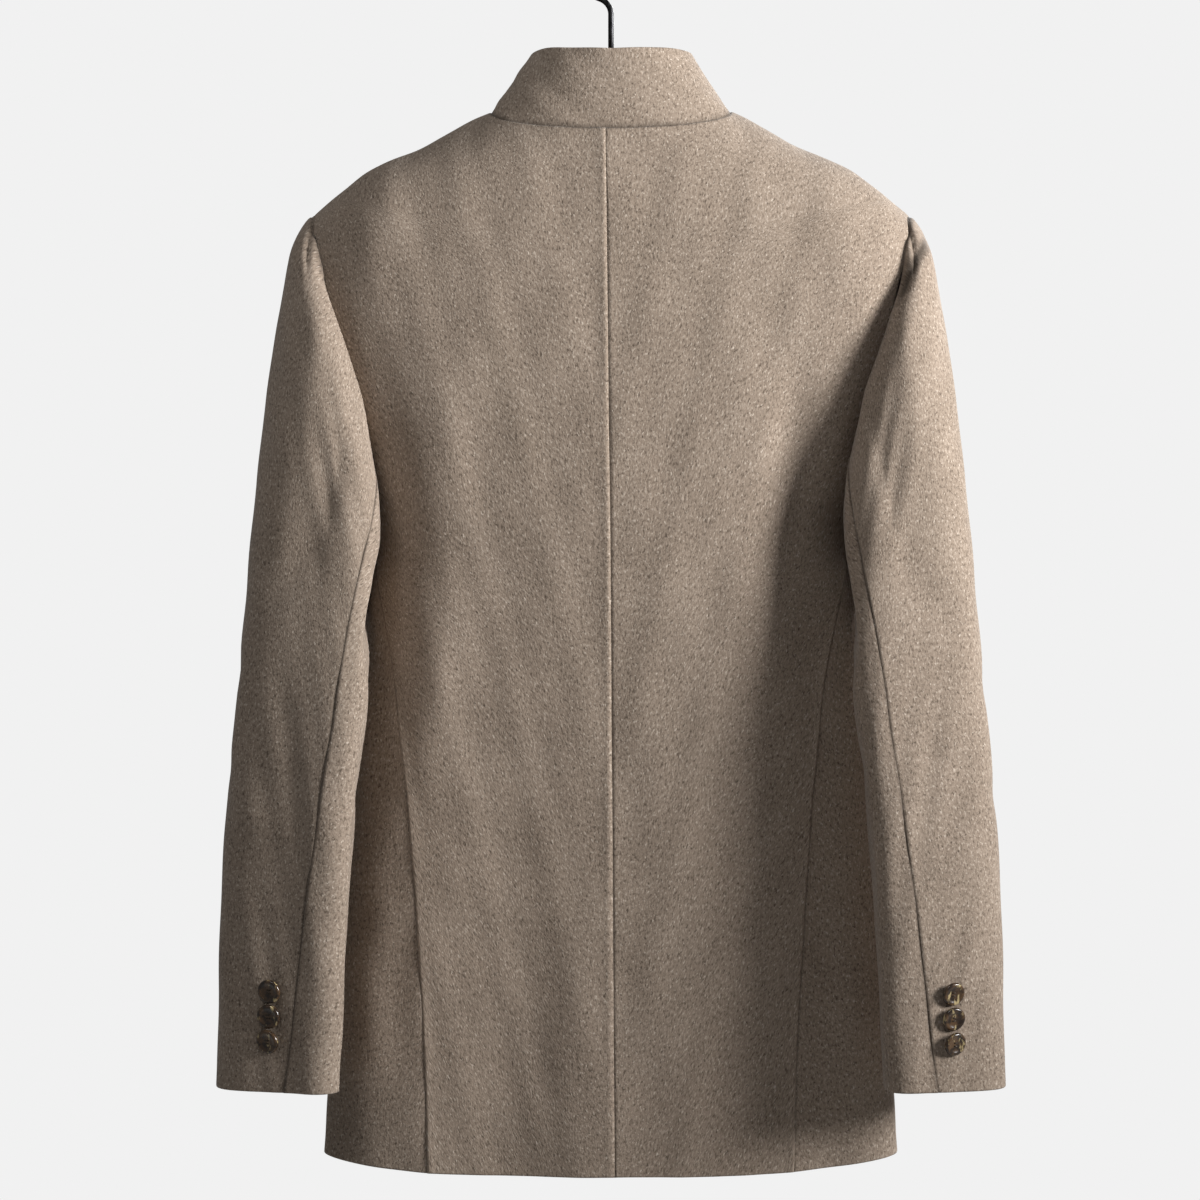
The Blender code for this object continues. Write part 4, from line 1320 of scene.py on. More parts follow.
class NodeSheet:
    """A material's nodes, with short calls that add them and join them."""

    def __init__(self, name: str) -> None:
        """Start a material with its one shader.

        Args:
            name: The material's name.
        """
        self.material = bpy.data.materials.new(name)
        self.material.use_nodes = True
        self.tree = self.material.node_tree
        self.shader = self.tree.nodes["Principled BSDF"]

    def join(self, value: object, socket: Socket) -> None:
        """Link a socket to another one, or set its own value.

        Args:
            value: The other socket, or the value.
            socket: The socket.
        """
        if isinstance(value, Socket):
            self.tree.links.new(value, socket)
        else:
            socket.default_value = value

    def add(self, kind: str, inputs: dict[str | int, object], **settings: object) -> bpy.types.Node:
        """Add a node.

        Args:
            kind: The node's type.
            inputs: Values or sockets for its inputs, by name or number.
            settings: Values of the node's own properties.

        Returns:
            The new node.
        """
        node = self.tree.nodes.new(kind)
        for name, value in settings.items():
            setattr(node, name, value)
        for name, value in inputs.items():
            self.join(value, node.inputs[name])
        return node

    def place(self, coordinate: str, scale: Sequence[float] = UNSTRETCHED, turn: float = 0.0) -> Socket:
        """Return a piece's own coordinates, stretched and turned.

        Args:
            coordinate: The kind of coordinates.
            scale: The stretch along each axis.
            turn: The turn about Z in degrees.

        Returns:
            The coordinates.
        """
        source = self.add("ShaderNodeTexCoord", {}).outputs[coordinate]
        turned = (0.0, 0.0, math.radians(turn))
        inputs = {"Vector": source, "Rotation": turned, "Scale": tuple(scale)}
        return self.add("ShaderNodeMapping", inputs).outputs["Vector"]

    def noise(self, vector: Socket, pattern: Pattern) -> Socket:
        """Return a soft random pattern from 0 to 1.

        Args:
            vector: The coordinates.
            pattern: The pattern's fineness.

        Returns:
            The pattern.
        """
        inputs = {"Vector": vector, "Scale": pattern.scale}
        inputs |= {"Detail": pattern.detail, "Roughness": pattern.roughness}
        return self.add("ShaderNodeTexNoise", inputs).outputs["Fac"]

    def math(self, operation: str, first: object, second: object) -> Socket:
        """Return the result of a sum on two values."""
        return self.add("ShaderNodeMath", {0: first, 1: second}, operation=operation).outputs[0]

    def stretch(self, value: object, span: Span) -> Socket:
        """Return a value spread so that the span's low end becomes 0 and its high end 1."""
        inputs = {"Value": value, "From Min": span.low, "From Max": span.high}
        return self.add("ShaderNodeMapRange", inputs, interpolation_type="SMOOTHSTEP").outputs["Result"]

    def mix(self, share: object, first: object, second: object) -> Socket:
        """Return a colour between two colours.

        Args:
            share: The share of the second colour.
            first: The first colour.
            second: The second colour.

        Returns:
            The mixed colour.
        """
        inputs = {MIX_SHARE: share}
        for socket, value in ((MIX_FIRST, first), (MIX_SECOND, second)):
            inputs[socket] = value if isinstance(value, Socket) else (*value, 1.0)
        return self.add("ShaderNodeMix", inputs, data_type="RGBA").outputs[MIX_RESULT]

    def bump(self, height: object, strength: float, distance: float) -> None:
        """Raise the surface's shading by a height pattern."""
        inputs = {"Height": height, "Strength": strength, "Distance": distance}
        self.join(self.add("ShaderNodeBump", inputs).outputs["Normal"], self.shader.inputs["Normal"])

    def finish(self, **values: object) -> Material:
        """Set the shader's own sockets and return the material.

        Args:
            values: Values or sockets, by the input's name in small letters.

        Returns:
            The material.
        """
        for name, value in values.items():
            self.join(value, self.shader.inputs[name.replace("_", " ").title().replace("Ior", "IOR")])
        return self.material


@dataclass(frozen=True)
class WoolFinish:
    """Felted wool with long flecks of cream and dark fibre, along the cloth's length."""

    name: str = "felted_brown_wool"
    dark: Colour = (0.120, 0.090, 0.067)
    middle: Colour = (0.265, 0.207, 0.160)
    light: Colour = (0.430, 0.355, 0.290)
    cream: Colour = (0.560, 0.480, 0.400)
    brown: Colour = (0.070, 0.050, 0.036)
    # The dark colour that the painted shade mixes in along the seams and in shut folds
    seam: Colour = (0.030, 0.022, 0.016)
    fibre: Pattern = Pattern(720.0, 3.0)
    fleck: Pattern = Pattern(400.0, 2.0)
    cloud: Pattern = Pattern(24.0, 2.0)
    pale_fleck: Pattern = Pattern(600.0, 1.0)
    deep_fleck: Pattern = Pattern(560.0, 1.0)
    fibre_stretch: float = 0.58
    fleck_lean: float = 7.0
    fibre_share: float = 0.6
    fleck_share: float = 0.4
    cloud_middle: float = 0.5
    cloud_share: float = 0.16
    middle_span: Span = Span(0.32, 0.50)
    light_span: Span = Span(0.50, 0.70)
    pale_span: Span = Span(0.60, 0.74)
    deep_span: Span = Span(0.40, 0.27)
    pale_share: float = 0.72
    deep_share: float = 0.74
    nap_strength: float = 0.55
    nap_height: float = 0.0012
    roughness: float = 0.95
    specular: float = 0.15
    sheen: float = 0.12
    sheen_roughness: float = 0.55

    def make(self) -> Material:
        """Return the wool as a material on the cloth's own metres.

        Returns:
            The material.
        """
        sheet = NodeSheet(self.name)
        along_threads = (1.0, self.fibre_stretch, 1.0)
        upright = sheet.place("UV", along_threads)
        leaning = sheet.place("UV", along_threads, self.fleck_lean)
        fibre = sheet.noise(upright, self.fibre)
        fleck = sheet.noise(leaning, self.fleck)
        cloud = sheet.math("SUBTRACT", sheet.noise(sheet.place("UV"), self.cloud), self.cloud_middle)
        tone = sheet.math("MULTIPLY", fibre, self.fibre_share)
        tone = sheet.math("ADD", tone, sheet.math("MULTIPLY", fleck, self.fleck_share))
        tone = sheet.math("ADD", tone, sheet.math("MULTIPLY", cloud, self.cloud_share))
        colour = sheet.mix(sheet.stretch(tone, self.middle_span), self.dark, self.middle)
        colour = sheet.mix(sheet.stretch(tone, self.light_span), colour, self.light)
        pale = sheet.stretch(sheet.noise(upright, self.pale_fleck), self.pale_span)
        colour = sheet.mix(sheet.math("MULTIPLY", pale, self.pale_share), colour, self.cream)
        deep = sheet.stretch(sheet.noise(leaning, self.deep_fleck), self.deep_span)
        colour = sheet.mix(sheet.math("MULTIPLY", deep, self.deep_share), colour, self.brown)
        # Painted shade: the cloth darkens towards the seam colour along the seams and in shut folds
        shade = sheet.add("ShaderNodeAttribute", {}, attribute_name=PAINTED_SEAM_SHADE).outputs["Fac"]
        sheet.bump(tone, self.nap_strength, self.nap_height)
        return sheet.finish(
            base_color=sheet.mix(shade, colour, self.seam),
            roughness=self.roughness,
            specular_ior_level=self.specular,
            sheen_weight=self.sheen,
            sheen_roughness=self.sheen_roughness,
        )


@dataclass(frozen=True)
class HornFinish:
    """Polished dark horn with pale streaks."""

    name: str = "streaked_horn"
    dark: Colour = (0.022, 0.013, 0.008)
    brown: Colour = (0.085, 0.047, 0.022)
    pale: Colour = (0.420, 0.330, 0.170)
    streak: Pattern = Pattern(300.0, 3.0)
    cloud: Pattern = Pattern(170.0, 2.0)
    streak_stretch: tuple[float, float, float] = (1.0, 1.0, 0.35)
    streak_turn: float = 35.0
    cloud_span: Span = Span(0.38, 0.62)
    streak_span: Span = Span(0.57, 0.68)
    roughness: float = 0.26
    specular: float = 0.5
    polish: float = 0.35
    polish_roughness: float = 0.12

    def make(self) -> Material:
        """Return the horn as a material.

        Returns:
            The material.
        """
        sheet = NodeSheet(self.name)
        streaks = sheet.noise(sheet.place("Object", self.streak_stretch, self.streak_turn), self.streak)
        clouds = sheet.noise(sheet.place("Object"), self.cloud)
        colour = sheet.mix(sheet.stretch(clouds, self.cloud_span), self.dark, self.brown)
        return sheet.finish(
            base_color=sheet.mix(sheet.stretch(streaks, self.streak_span), colour, self.pale),
            roughness=self.roughness,
            specular_ior_level=self.specular,
            coat_weight=self.polish,
            coat_roughness=self.polish_roughness,
        )


@dataclass(frozen=True)
class ThreadFinish:
    """Dull brown sewing thread."""

    name: str = "brown_thread"
    dark: Colour = (0.030, 0.022, 0.016)
    light: Colour = (0.085, 0.065, 0.050)
    twist: Pattern = Pattern(2200.0, 1.0)
    twist_span: Span = Span(0.35, 0.65)
    roughness: float = 0.8
    specular: float = 0.2

    def make(self) -> Material:
        """Return the thread as a material.

        Returns:
            The material.
        """
        sheet = NodeSheet(self.name)
        twist = sheet.noise(sheet.place("Object"), self.twist)
        colour = sheet.mix(sheet.stretch(twist, self.twist_span), self.dark, self.light)
        return sheet.finish(base_color=colour, roughness=self.roughness, specular_ior_level=self.specular)


@dataclass(frozen=True)
class WoodFinish:
    """Dark stained wood with long grain under a thin varnish."""

    name: str = "dark_stained_wood"
    dark: Colour = (0.026, 0.014, 0.009)
    light: Colour = (0.085, 0.047, 0.028)
    grain: Pattern = Pattern(420.0, 4.0)
    grain_stretch: tuple[float, float, float] = (0.06, 1.0, 1.0)
    grain_span: Span = Span(0.35, 0.68)
    grain_strength: float = 0.15
    grain_height: float = 0.0004
    roughness: float = 0.42
    varnish: float = 0.3
    varnish_roughness: float = 0.2

    def make(self) -> Material:
        """Return the wood as a material, with its grain along the bar.

        Returns:
            The material.
        """
        sheet = NodeSheet(self.name)
        grain = sheet.noise(sheet.place("Object", self.grain_stretch), self.grain)
        sheet.bump(grain, self.grain_strength, self.grain_height)
        return sheet.finish(
            base_color=sheet.mix(sheet.stretch(grain, self.grain_span), self.dark, self.light),
            roughness=self.roughness,
            coat_weight=self.varnish,
            coat_roughness=self.varnish_roughness,
        )


@dataclass(frozen=True)
class SteelFinish:
    """Blackened steel wire with a faint drawn grain."""

    name: str = "blackened_steel"
    dark: Colour = (0.016, 0.016, 0.017)
    light: Colour = (0.050, 0.050, 0.052)
    drawn: Pattern = Pattern(900.0, 2.0)
    drawn_stretch: tuple[float, float, float] = (1.0, 1.0, 0.2)
    drawn_span: Span = Span(0.35, 0.65)
    roughness: Span = Span(0.28, 0.48)
    metallic: float = 1.0

    def make(self) -> Material:
        """Return the steel as a material.

        Returns:
            The material.
        """
        sheet = NodeSheet(self.name)
        drawn = sheet.noise(sheet.place("Object", self.drawn_stretch), self.drawn)
        colour = sheet.mix(sheet.stretch(drawn, self.drawn_span), self.dark, self.light)
        inputs = {"Value": drawn, "To Min": self.roughness.low, "To Max": self.roughness.high}
        roughness = sheet.add("ShaderNodeMapRange", inputs).outputs["Result"]
        return sheet.finish(base_color=colour, roughness=roughness, metallic=self.metallic)


@dataclass(frozen=True)
class FloorFinish:
    """Plain pale studio floor with a faint mottle."""

    name: str = "pale_floor"
    dark: Colour = (0.76, 0.76, 0.76)
    light: Colour = (0.82, 0.82, 0.82)
    mottle: Pattern = Pattern(6.0, 3.0)
    roughness: float = 0.9

    def make(self) -> Material:
        """Return the floor as a material.

        Returns:
            The material.
        """
        sheet = NodeSheet(self.name)
        mottle = sheet.noise(sheet.place("Object"), self.mottle)
        colour = sheet.mix(mottle, self.dark, self.light)
        return sheet.finish(base_color=colour, roughness=self.roughness)


@dataclass
class Jacket:
    """The cut and sewn cloth of the jacket."""

    body: BodyForm
    collar: CollarForm
    sleeves: dict[Side, SleeveForm]
    collar_wall: float = 0.0030
    back_cut: Cut = Cut(0.250, 0.780, 0.133)
    side_cut: Cut = Cut(0.210, 0.470, 0.071)
    front_cut: Cut = Cut(0.290, 0.790, 0.147)
    upper_sleeve_cut: Cut = Cut(0.240, 0.640, 0.108)
    under_sleeve_cut: Cut = Cut(0.180, 0.520, 0.057)
    collar_cut: Cut = Cut(0.460, 0.070, 0.029)

    def side_pieces(self, side: Side) -> list[CutPiece]:
        """Return the cut pieces of one side, with their borders and creases.

        Args:
            side: The wearer's side.

        Returns:
            The pieces.
        """
        body, sleeve = self.body, self.sleeves[side]
        left = side is Side.LEFT
        flat, turned = Edge.FLAT_SEAM, Edge.TURNED_EDGE
        armhole = Edge.SOFT_ARMHOLE if left else Edge.ARMHOLE
        middle = Edge.WELT if left else Edge.UNDER_WELT
        back = Borders(Edge.NECK_SEAM, turned, middle, Edge.SIDE_WELT)
        flank = Borders(armhole, turned, Edge.UNDER_WELT, flat)
        front = Borders(flat, turned, Edge.LAPPED_EDGE if left else turned, flat)
        seams = Borders(armhole, turned, flat, flat)
        upper = CutPiece(f"upper_sleeve_{side.label}", sleeve.upper_grid(), seams, self.upper_sleeve_cut)
        under = CutPiece(f"under_sleeve_{side.label}", sleeve.under_grid(), seams, self.under_sleeve_cut)
        upper.creases = under.creases = SLEEVE_CREASES
        upper.grain = under.grain = MIDDLE_GRAIN
        upper.upright = under.upright = True
        return [
            CutPiece(f"back_{side.label}", body.back_grid(side), back, self.back_cut, BODY_CREASES),
            CutPiece(f"side_{side.label}", body.side_grid(side), flank, self.side_cut, BODY_CREASES),
            CutPiece(f"front_{side.label}", body.front_grid(side), front, self.front_cut, BODY_CREASES),
            upper,
            under,
        ]

    def cut_pieces(self) -> list[CutPiece]:
        """Return every cut piece of the jacket.

        Returns:
            The pieces.
        """
        turned = Edge.TURNED_EDGE
        around = Borders(turned, Edge.COLLAR_FOOT, turned, turned)
        collar = CutPiece("collar", self.collar.grid(), around, self.collar_cut)
        collar.grain = MIDDLE_GRAIN
        collar.wall = self.collar_wall
        return [*self.side_pieces(Side.LEFT), *self.side_pieces(Side.RIGHT), collar]

    def build(self, wool: Material) -> None:
        """Build and dress every cut piece.

        Args:
            wool: The cloth of every piece.
        """
        for cut_piece in self.cut_pieces():
            piece = cut_piece.build()
            cut_piece.dress(piece, wool)
            log.info("%s: %d faces", piece.name, len(piece.data.polygons))


class ButtonRow(NamedTuple):
    """A corner of a button's half outline, as shares of its radius and of its thickness."""

    reach: float
    height: float


@dataclass
class Buttons:
    """The turned horn buttons on the cuffs and down the front."""

    body: BodyForm
    sleeves: dict[Side, SleeveForm]
    cuff_radius: float = 0.0085
    front_radius: float = 0.0112
    thickness_share: float = 0.46
    steps: int = 48
    merge_share: float = 0.001
    hole_count: int = 4
    hole_steps: int = 4
    hole_rim_share: float = 0.02
    hole_depth_share: float = 0.30
    thread_radius_share: float = 0.055
    thread_reach: float = 2.1
    thread_rise_share: float = 0.02
    thread_segments: int = 10
    lift_share: float = 0.45
    front_drops: tuple[float, ...] = (0.115, 0.215, 0.315, 0.415, 0.515)
    cuff_rows: tuple[CuffButtonRow, ...] = (
        CuffButtonRow(0.6297, 0.6312, 89.4, ButtonLean(-35.0, 12.0), ButtonLean(35.0, 20.0)),
        CuffButtonRow(0.6472, 0.6487, 89.4, ButtonLean(-20.0, 9.0), ButtonLean(28.0, 16.0)),
        CuffButtonRow(0.6647, 0.6662, 89.4, ButtonLean(-45.0, 14.0), ButtonLean(50.0, 22.0)),
    )
    outline: tuple[ButtonRow, ...] = (
        ButtonRow(0.00, 0.70),
        ButtonRow(0.10, 0.70),
        ButtonRow(0.27, 0.71),
        ButtonRow(0.45, 0.73),
        ButtonRow(0.56, 0.78),
        ButtonRow(0.66, 0.90),
        ButtonRow(0.75, 0.98),
        ButtonRow(0.83, 1.00),
        ButtonRow(0.91, 0.95),
        ButtonRow(0.97, 0.82),
        ButtonRow(1.00, 0.60),
        ButtonRow(0.99, 0.38),
        ButtonRow(0.92, 0.16),
        ButtonRow(0.80, 0.03),
        ButtonRow(0.60, 0.00),
        ButtonRow(0.00, 0.00),
    )

    def turned(self, radius: float) -> Shape:
        """Return a button on +Z: its half outline spun round, with four sewing holes sunk in its face.

        Args:
            radius: The button's radius.

        Returns:
            The shape.
        """
        thickness = radius * self.thickness_share
        button = bmesh.new()
        corners = []
        for row in self.outline:
            corners.append(button.verts.new((row.reach * radius, 0.0, row.height * thickness)))
        for start, end in zip(corners, corners[1:]):
            button.edges.new((start, end))
        bmesh.ops.spin(
            button,
            geom=button.verts[:] + button.edges[:],
            cent=(0.0, 0.0, 0.0),
            axis=(0.0, 0.0, 1.0),
            angle=math.tau,
            steps=self.steps,
            use_merge=True,
        )
        bmesh.ops.remove_doubles(button, verts=button.verts[:], dist=radius * self.merge_share)
        bmesh.ops.recalc_face_normals(button, faces=button.faces[:])
        self.sink_holes(button, radius)
        for face in button.faces:
            face.smooth = True
        return button

    def sink_holes(self, button: Shape, radius: float) -> None:
        """Sink four holes into the ring of faces round the middle of a button's face.

        Args:
            button: The shape.
            radius: The button's radius.
        """
        low, high = self.outline[1].reach * radius, self.outline[2].reach * radius
        ring = []
        for face in button.faces:
            centre = face.calc_center_median()
            if low < centre.xy.length < high and centre.z > radius * self.thickness_share / 2.0:
                ring.append(face)
        width = math.tau * self.hole_steps / self.steps / 2.0
        rim = radius * self.hole_rim_share
        holes = []
        for number in range(self.hole_count):
            middle = math.tau * (number + 0.5) / self.hole_count
            apart = [self.angle_apart(face.calc_center_median(), middle) for face in ring]
            holes.append([face for face, angle in zip(ring, apart) if angle < width])
        for hole in holes:
            bmesh.ops.inset_region(button, faces=hole, thickness=rim, use_even_offset=True)
            floor = bmesh.ops.extrude_face_region(button, geom=hole)
            sunk = [item for item in floor["geom"] if isinstance(item, bmesh.types.BMVert)]
            bmesh.ops.delete(button, geom=hole, context="FACES")
            depth = radius * self.thickness_share * self.hole_depth_share
            bmesh.ops.translate(button, verts=sunk, vec=(0.0, 0.0, -depth))

    @staticmethod
    def angle_apart(place: Vector, angle: float) -> float:
        """Return how far a place's angle round the middle is from an angle."""
        apart = math.atan2(place.y, place.x) - angle
        return abs(math.atan2(math.sin(apart), math.cos(apart)))

    def add_thread(self, button: Shape, radius: float) -> None:
        """Add two stitches across the holes, in the second material.

        Args:
            button: The shape.
            radius: The button's radius.
        """
        face_share = self.outline[1].height + self.thread_rise_share
        height = radius * self.thickness_share * face_share
        reach = radius * (self.outline[1].reach + self.outline[2].reach) / 2.0 / math.sqrt(2.0)
        turn = Matrix.Rotation(math.pi / 2.0, 4, "Y")
        for across in (-reach, reach):
            place = Matrix.Translation((0.0, across, height))
            made = bmesh.ops.create_cone(
                button,
                cap_ends=True,
                segments=self.thread_segments,
                radius1=radius * self.thread_radius_share,
                radius2=radius * self.thread_radius_share,
                depth=reach * self.thread_reach,
                matrix=place @ turn,
            )
            for face in {face for vertex in made["verts"] for face in vertex.link_faces}:
                face.material_index = 1
                face.smooth = True

    def seat(self, node: str, grid: ClothGrid) -> Matrix:
        """Return the place of a button: on its node's base, square to the cloth.

        Args:
            node: The button's node.
            grid: The point and normal of the cloth under it.

        Returns:
            The place.
        """
        point, normal = Vector(grid.points.reshape(3)), Vector(grid.normals.reshape(3))
        base = min((vertex.co - point).dot(normal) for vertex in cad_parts[node].data.vertices)
        turn = normal.to_track_quat("Z", "Y").to_matrix().to_4x4()
        return Matrix.Translation(point + normal * base) @ turn

    def leaning(self, radius: float, lean: ButtonLean) -> Matrix:
        """Return the turn of a button that leans on its thread, lifted so that its rim clears the cloth.

        Args:
            radius: The button's radius.
            lean: The lean.

        Returns:
            The turn and lift.
        """
        direction, tilt = math.radians(lean.direction), math.radians(lean.tilt)
        level = Vector((math.cos(direction), math.sin(direction), 0.0))
        lift = Matrix.Translation((0.0, 0.0, radius * math.sin(tilt) * self.lift_share))
        return lift @ Matrix.Rotation(tilt, 4, level)

    def add(
        self,
        node: str,
        radius: float,
        grid: ClothGrid,
        materials: tuple[Material, Material],
        lean: ButtonLean = ButtonLean(0.0, 0.0),
    ) -> None:
        """Make one button, seat it and dress it in its horn and thread.

        Args:
            node: The button's node.
            radius: The button's radius.
            grid: The point and normal of the cloth under it.
            materials: The horn and the thread.
            lean: The lean.
        """
        button = self.turned(radius)
        self.add_thread(button, radius)
        place = self.seat(node, grid) @ self.leaning(radius, lean)
        bmesh.ops.transform(button, matrix=place, verts=button.verts[:])
        piece = new_piece(f"horn_{node}", button, materials)
        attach(piece, BODY_NAME)
        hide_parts(node)
        log.info("%s: %d faces", piece.name, len(piece.data.polygons))

    def build(self, horn: Material, thread: Material) -> None:
        """Make every button of the cuffs and the front.

        Args:
            horn: The buttons' material.
            thread: The stitches' material.
        """
        for side, sleeve in self.sleeves.items():
            for number, row in enumerate(self.cuff_rows, start=1):
                left = side is Side.LEFT
                drop = row.left_drop if left else row.right_drop
                lean = row.left_lean if left else row.right_lean
                grid = sleeve.grid(np.array(row.turn), np.array(sleeve.way_at(drop)))
                self.add(f"cuff_button_{side.label}_{number}", self.cuff_radius, grid, (horn, thread), lean)
        for number, drop in enumerate(self.front_drops, start=1):
            grid = self.body.grid(np.array(180.0), np.array(drop))
            self.add(f"front_button_{number}", self.front_radius, grid, (horn, thread))


class Station(NamedTuple):
    """A place on a bar's or wire's middle line, with the radius there."""

    place: Vector
    radius: float


@dataclass
class Hanger:
    """The plain wooden hanger with its steel hook."""

    body: BodyForm
    wire_radius: float = 0.0021
    hook_inner_radius: float = 0.022
    hook_bend_radius: float = 0.012
    hook_end_angle: float = 205.0
    bar_radius: float = 0.0095
    bar_clearance: float = 0.0012
    cloth_wall: float = 0.0024
    bar_neck_drop: float = 0.001
    bar_end_drop: float = 0.062
    bar_steps: int = 36
    arch_steps: int = 16
    bend_steps: int = 12
    hook_steps: int = 56
    segments: int = 32
    end_steps: int = 6
    end_angle: float = 88.0
    end_room: float = 1.05

    def bar_side(self) -> list[Vector]:
        """Return the bar's middle line under the left shoulder, from its end up to the neck.

        Returns:
            The points.
        """
        drops = np.linspace(self.bar_end_drop, self.bar_neck_drop, self.bar_steps + 1)
        grid = self.body.grid(np.full_like(drops, 90.0), drops)
        inward = unit(grid.normals * np.array((1.0, 0.0, 1.0)))
        depth = self.cloth_wall + self.bar_clearance + self.bar_radius
        return [Vector(place) for place in grid.points - inward * depth]

    def bar_route(self) -> list[Vector]:
        """Return the bar's middle line, arched between the shoulders.

        Returns:
            The points.
        """
        side = self.bar_side()
        before, last = side[-2], side[-1]
        slope = (last.z - before.z) / (before.x - last.x)
        arch = []
        for share in np.linspace(1.0, 0.0, self.arch_steps + 1)[1:]:
            rise = slope * last.x / 2.0 * (1.0 - share**2)
            arch.append(Vector((last.x * share, last.y, last.z + rise)))
        half = side + arch
        return half + [Vector((-place.x, place.y, place.z)) for place in reversed(half[:-1])]

    @staticmethod
    def arc(centre: Vector, radius: float, start: float, end: float, steps: int) -> list[Vector]:
        """Return points round an arc in the upright plane, between two angles from +X."""
        angles = np.radians(np.linspace(start, end, steps + 1))
        return [centre + Vector((math.cos(angle), 0.0, math.sin(angle))) * radius for angle in angles]

    def hook_route(self, foot: Vector) -> list[Vector]:
        """Return the hook's middle line: the stem, a bend aside, and the round hook over the top.

        Args:
            foot: The place on the bar where the stem stands.

        Returns:
            The points.
        """
        radius = self.hook_inner_radius + self.wire_radius
        crown = Vector((0.0, foot.y, -self.hook_inner_radius))
        below = math.sqrt(radius**2 + 2.0 * radius * self.hook_bend_radius)
        bend = crown + Vector((self.hook_bend_radius, 0.0, -below))
        lean = math.degrees(math.atan2(below, self.hook_bend_radius))
        route = [foot]
        route += self.arc(bend, self.hook_bend_radius, 180.0, 180.0 - lean, self.bend_steps)
        return route + self.arc(crown, radius, -lean, self.hook_end_angle, self.hook_steps)[1:]

    def rounded(self, route: list[Vector], radius: float, at_start: bool) -> list[Station]:
        """Return the stations along a route whose ends are rounded off.

        Args:
            route: The middle line.
            radius: The full radius.
            at_start: Whether the start is rounded as the end is.

        Returns:
            The stations, with the radius falling to almost nothing at a rounded end.
        """
        stations = [Station(place, radius) for place in route]
        ends = [(route[-1], (route[-1] - route[-2]).normalized(), False)]
        if at_start:
            ends.append((route[0], (route[0] - route[1]).normalized(), True))
        for tip, way, first in ends:
            cap = []
            for step in range(self.end_steps + 1):
                angle = math.radians(self.end_angle) * step / self.end_steps
                inset = radius * (math.sin(angle) - 1.0)
                cap.append(Station(tip + way * inset, radius * math.cos(angle)))
            room = radius * self.end_room
            kept = [station for station in stations if (tip - station.place).length > room]
            stations = cap[::-1] + kept if first else kept + cap
        return stations

    def sweep(self, stations: list[Station]) -> Shape:
        """Return a closed round bar: a circle extruded from station to station.

        Args:
            stations: The stations in order.

        Returns:
            The shape.
        """
        bar = bmesh.new()
        previous = self.stand(stations, 0)
        made = bmesh.ops.create_circle(
            bar, cap_ends=True, segments=self.segments, radius=1.0, matrix=previous
        )
        ring = list({edge for vertex in made["verts"] for edge in vertex.link_edges})
        for index in range(1, len(stations)):
            current = self.stand(stations, index)
            extruded = bmesh.ops.extrude_edge_only(bar, edges=ring)
            moved = [item for item in extruded["geom"] if isinstance(item, bmesh.types.BMVert)]
            bmesh.ops.transform(bar, matrix=current @ previous.inverted(), verts=moved)
            ring = [item for item in extruded["geom"] if isinstance(item, bmesh.types.BMEdge)]
            previous = current
        bmesh.ops.contextual_create(bar, geom=ring)
        bmesh.ops.recalc_face_normals(bar, faces=bar.faces[:])
        for face in bar.faces:
            face.smooth = True
        return bar

    @staticmethod
    def stand(stations: list[Station], index: int) -> Matrix:
        """Return the frame of a station: Z along the line, and the radius as its scale.

        Args:
            stations: The stations in order.
            index: The number of the station.

        Returns:
            The frame.
        """
        before = stations[max(index - 1, 0)].place
        after = stations[min(index + 1, len(stations) - 1)].place
        along = (after - before).normalized()
        level = Vector((0.0, 1.0, 0.0))
        third = along.cross(level).normalized()
        turn = Matrix((third, level, along)).transposed().to_4x4()
        place, radius = stations[index]
        return Matrix.Translation(place) @ turn @ Matrix.Scale(radius, 4)

    def add(self, node: str, slot: str, stations: list[Station], material: Material) -> None:
        """Make one bar or wire and dress it.

        Args:
            node: The node.
            slot: The material slot; not used.
            stations: The stations in order.
            material: The material.
        """
        bar = self.sweep(stations)
        piece = new_piece(f"smooth_{node}", bar, (material,))
        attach(piece, BODY_NAME)
        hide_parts(node)
        log.info("%s: %d faces", piece.name, len(piece.data.polygons))

    def build(self, wood: Material, steel: Material) -> None:
        """Make the bar and the hook that stands on its middle.

        Args:
            wood: The bar's material.
            steel: The hook's material.
        """
        route = self.bar_route()
        self.add("hanger_bar", "dark_wood", self.rounded(route, self.bar_radius, True), wood)
        apex = max(route, key=lambda place: place.z)
        foot = Vector((0.0, apex.y, apex.z + self.bar_radius))
        hook = self.rounded(self.hook_route(foot), self.wire_radius, False)
        self.add("hanger_hook", "black_steel", hook, steel)


class Lamp(NamedTuple):
    """A soft area light: where it stands, what it looks at, its width, power and spread in degrees."""

    name: str
    place: tuple[float, float, float]
    target: tuple[float, float, float]
    width: float
    power: float
    spread: float


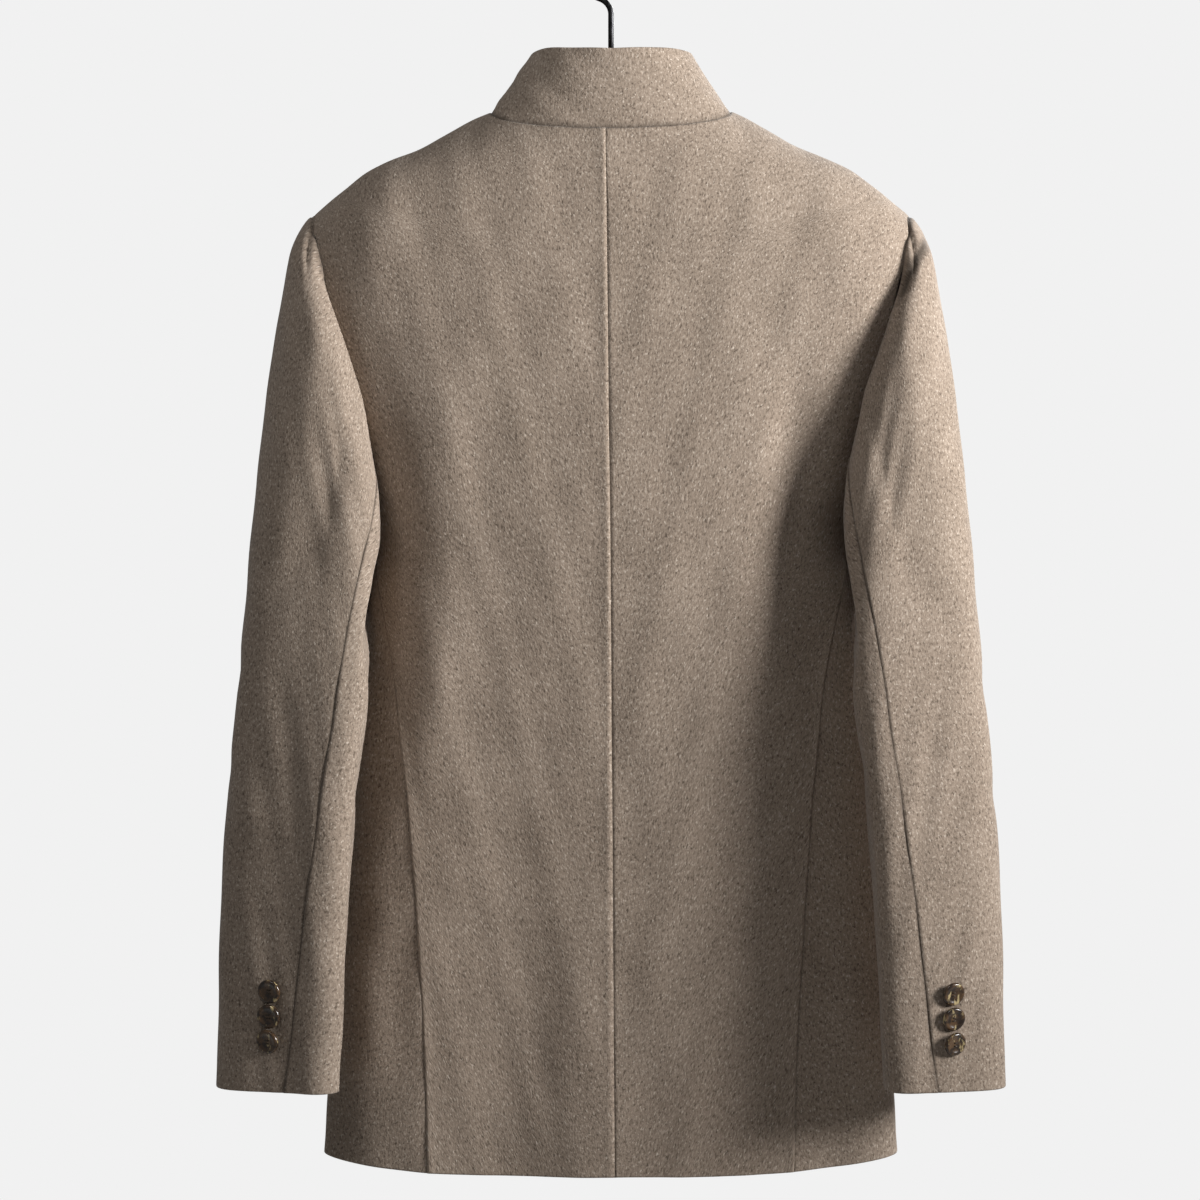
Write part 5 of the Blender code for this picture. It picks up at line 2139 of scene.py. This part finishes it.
@dataclass
class Studio:
    """The pale room, the lights and the camera behind the jacket."""

    camera_distance: float = 2.4
    camera_height: float = -0.470
    camera_tilt: float = 90.0
    camera_turn: float = 180.0
    image_size: int = 1200
    focal_pixels: float = 3288.0
    sensor_width: float = 36.0
    middle_pixel: tuple[float, float] = (611.0, 580.0)
    backdrop: Colour = (0.880, 0.880, 0.880)
    ambient: float = 0.17
    floor_height: float = -1.70
    floor_radius: float = 4.0
    floor_segments: int = 96
    lamps: tuple[Lamp, ...] = (
        Lamp("key", (-2.00, 0.90, 0.05), (0.0, 0.05, -0.12), 0.80, 17.0, 70.0),
        Lamp("top fill", (0.60, 1.40, 1.20), (0.10, 0.05, -0.17), 0.60, 0.6, 40.0),
        Lamp("front", (-1.00, -1.80, 0.50), (0.0, 0.0, -0.45), 1.20, 40.0, 180.0),
    )

    def add_camera(self) -> None:
        """Stand the camera behind the jacket, level, with the photograph's framing."""
        data = bpy.data.cameras.new("camera")
        data.sensor_width = self.sensor_width
        data.lens = self.focal_pixels / self.image_size * self.sensor_width
        half = self.image_size / 2.0
        data.shift_x = (half - self.middle_pixel[0]) / self.image_size
        data.shift_y = (self.middle_pixel[1] - half) / self.image_size
        camera = bpy.data.objects.new("camera", data)
        camera.location = (0.0, self.camera_distance, self.camera_height)
        camera.rotation_euler = (math.radians(self.camera_tilt), 0.0, math.radians(self.camera_turn))
        bpy.context.scene.collection.objects.link(camera)
        bpy.context.scene.camera = camera

    def add_lamps(self) -> None:
        """Hang the area lights."""
        for lamp in self.lamps:
            data = bpy.data.lights.new(lamp.name, "AREA")
            data.shape = "DISK"
            data.size = lamp.width
            data.energy = lamp.power
            data.spread = math.radians(lamp.spread)
            light = bpy.data.objects.new(lamp.name, data)
            light.location = lamp.place
            light.rotation_mode = "QUATERNION"
            light.rotation_quaternion = (Vector(lamp.target) - Vector(lamp.place)).to_track_quat("-Z", "Y")
            bpy.context.scene.collection.objects.link(light)

    def add_room(self, floor_material: Material) -> None:
        """Lay the floor, and make the world pale behind the jacket and dim as a light.

        Args:
            floor_material: The floor's material.
        """
        floor = bmesh.new()
        place = Matrix.Translation((0.0, 0.0, self.floor_height))
        bmesh.ops.create_circle(
            floor, cap_ends=True, segments=self.floor_segments, radius=self.floor_radius, matrix=place
        )
        piece = new_piece("floor", floor, (floor_material,))
        world = bpy.data.worlds.new("room")
        world.use_nodes = True
        nodes, links = world.node_tree.nodes, world.node_tree.links
        seen = nodes["Background"]
        seen.inputs["Color"].default_value = (*self.backdrop, 1.0)
        dim = nodes.new("ShaderNodeBackground")
        dim.inputs["Color"].default_value = (self.ambient, self.ambient, self.ambient, 1.0)
        path = nodes.new("ShaderNodeLightPath")
        choice = nodes.new("ShaderNodeMixShader")
        links.new(path.outputs["Is Camera Ray"], choice.inputs[0])
        links.new(dim.outputs[0], choice.inputs[1])
        links.new(seen.outputs[0], choice.inputs[2])
        links.new(choice.outputs[0], nodes["World Output"].inputs["Surface"])
        bpy.context.scene.world = world

    def build(self) -> None:
        """Set up the camera, the lights and the room."""
        self.add_camera()
        self.add_lamps()
        self.add_room(FloorFinish().make())
        bpy.context.scene.view_settings.view_transform = "Standard"


def main() -> None:
    """Build the studio, the jacket, its buttons and its hanger."""
    logging.basicConfig(level=logging.INFO, format="%(message)s")
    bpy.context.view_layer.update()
    Studio().build()
    body = BodyForm()
    sleeves = {side: SleeveForm(body, side) for side in Side}
    Jacket(body, CollarForm(body), sleeves).build(WoolFinish().make())
    Buttons(body, sleeves).build(HornFinish().make(), ThreadFinish().make())
    Hanger(body).build(WoodFinish().make(), SteelFinish().make())


if __name__ == "__main__":
    main()
